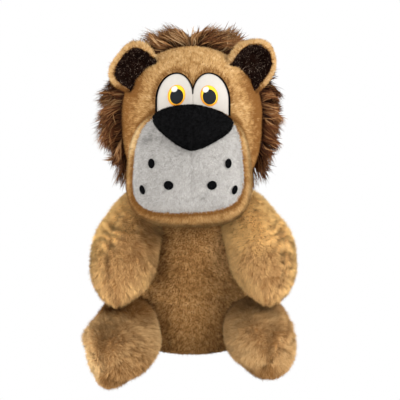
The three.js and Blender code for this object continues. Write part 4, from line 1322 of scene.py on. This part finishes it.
# Legs
LEG_SEAM, LEG_FOLDS = math.radians(50), math.radians(36)


def leg_shift(skin, lopsided):
    angle = angle_round(skin)
    seam = bump(angle, LEG_SEAM, .07) * smooth(.3, .45, skin.share)
    near = bump(angle, LEG_FOLDS, .45) * smooth(.45, .7, skin.share)
    folds = np.sin(skin.vertices[:, 2] * .6 + limb_waves(skin.vertices, 16, 24) * 3) * near
    outer = smooth(0, .9, skin.cos) * smooth(.6, 0, skin.sin)
    inner = smooth(0, .9, -skin.cos) * bump(skin.sin, -.25, .5)
    under = smooth(0, .9, -skin.cos) * bump(skin.sin, -.8, .5)
    uneven = smooth(.3, .5, skin.share) * (lopsided * (5 * inner - 5.5 * outer) - 5 * under)
    shoulder = 5 * smooth(0, .6, skin.cos) * bump(skin.sin, .85, .22) * smooth(.15, .4, skin.share)
    return -2.8 * seam + 1.9 * folds + 1.2 * limb_waves(skin.vertices, 26, 26) + uneven + shoulder


def leg_comb(p):
    return vec(.25, -.1, -1) + X_AXIS * (noise(p.at, 26, 32)[:, None] - .4) * .8


def leg_shade(p, lopsided):
    # Painted shade in the seam's groove (seam), and on the top under the arms, more on the toy's right leg
    # (top). Painted light on the sides (sides). Darker towards the foot, with painted shade on its underside
    # (toe). On the right foot, painted light on the outer side and painted shade on the inner (outer).
    seam = bump(angle_round(p), LEG_SEAM, .09) * smooth(.3, .45, p.share)
    sides = smooth(.4, 1, abs(p.cos)) * .26
    top = smooth(.3, 1, p.sin) * smooth(.75, .5, p.share) * (.1 + .36 * lopsided)
    streak = wave(p.at * vec(1, .5, 1), 2.6, 45)
    toe = smooth(.6, .9, p.share) * (.12 * smooth(.2, -.6, p.sin) + .15)
    outer = lopsided * (.4 * smooth(.1, .8, p.cos) - .25 * smooth(.7, 1, -p.cos))
    outer = outer * smooth(.5, .75, p.share)
    return wave(p.at, 24, 42) * .22 + streak * .3 - .3 * seam + sides - top - toe + outer


LEG_HINGE = (HIP + vec(0, 6, 0), HIP + vec(6, -26, 0))
LEGS = (
    (1, 91, 0, dict(reach=140, turn=math.radians(4), half=31.6, aside=.4)),
    (-1, 92, 1, dict(reach=168, turn=math.radians(5.5), half=30.4, aside=-1)),
)
for side, seed, lopsided, sizes in LEGS:
    leg_skin = Skin(leg_form(**sizes), rows=44, caps=18, sides=112, outset=-2.6,
                    shift=lambda skin: leg_shift(skin, lopsided))
    leg_skin.vertices[:, 2] = np.maximum(leg_skin.vertices[:, 2], .4)
    dress_limb("leg", side, leg_skin, LEG_HINGE, .8, leg_comb, lambda p: leg_shade(p, lopsided),
               PILE_LEG, lambda p: (torso.depth(p.at) > .97) & (p.z > 1.5),
               seed=seed, per_mm2=2.2, length=5.8, width=.75)


# Tail
def tail_comb(p):
    return vec(0, 1, -.1) + 0 * p.at


TAIL_HINGE = (TAIL_ROOT + vec(0, 4, 0), TAIL_ROOT + vec(0, 28, 0))
tail_skin = Skin(tail, rows=30, caps=6, sides=32, outset=-2.4)
skin_object("tail_cloth", tail_skin, ROOT_TAN, ["tail_skin", "tail_filling"],
            body="tail", hinge=TAIL_HINGE)
grow("tail_pile", tail_skin, tail_comb, PILE_FACE, "tan_pile",
     seed=95, per_mm2=1.4, length=4.2, width=.8, lean=58, lump=2.6, gather=.2, stray=.25,
     keep=lambda p: torso.depth(p.at) > .97, body="tail", hinge=TAIL_HINGE)
tuft_skin = Skin(tuft, rows=14, caps=8, sides=32, outset=-7.0)
skin_object("tuft_cloth", tuft_skin, ROOT_MANE, ["tail_tuft"], body="tail")
grow("tuft_pile", tuft_skin, tail_comb, PILE_MANE, "mane_pile",
     seed=96, per_mm2=1.0, length=13.5, width=1.1, lean=62, lump=7, gather=.55, stray=.2,
     shade=lambda p: wave(p.at, 9, 8) * .3, swirl=.6, lump_uneven=.25, segments=4, body="tail")
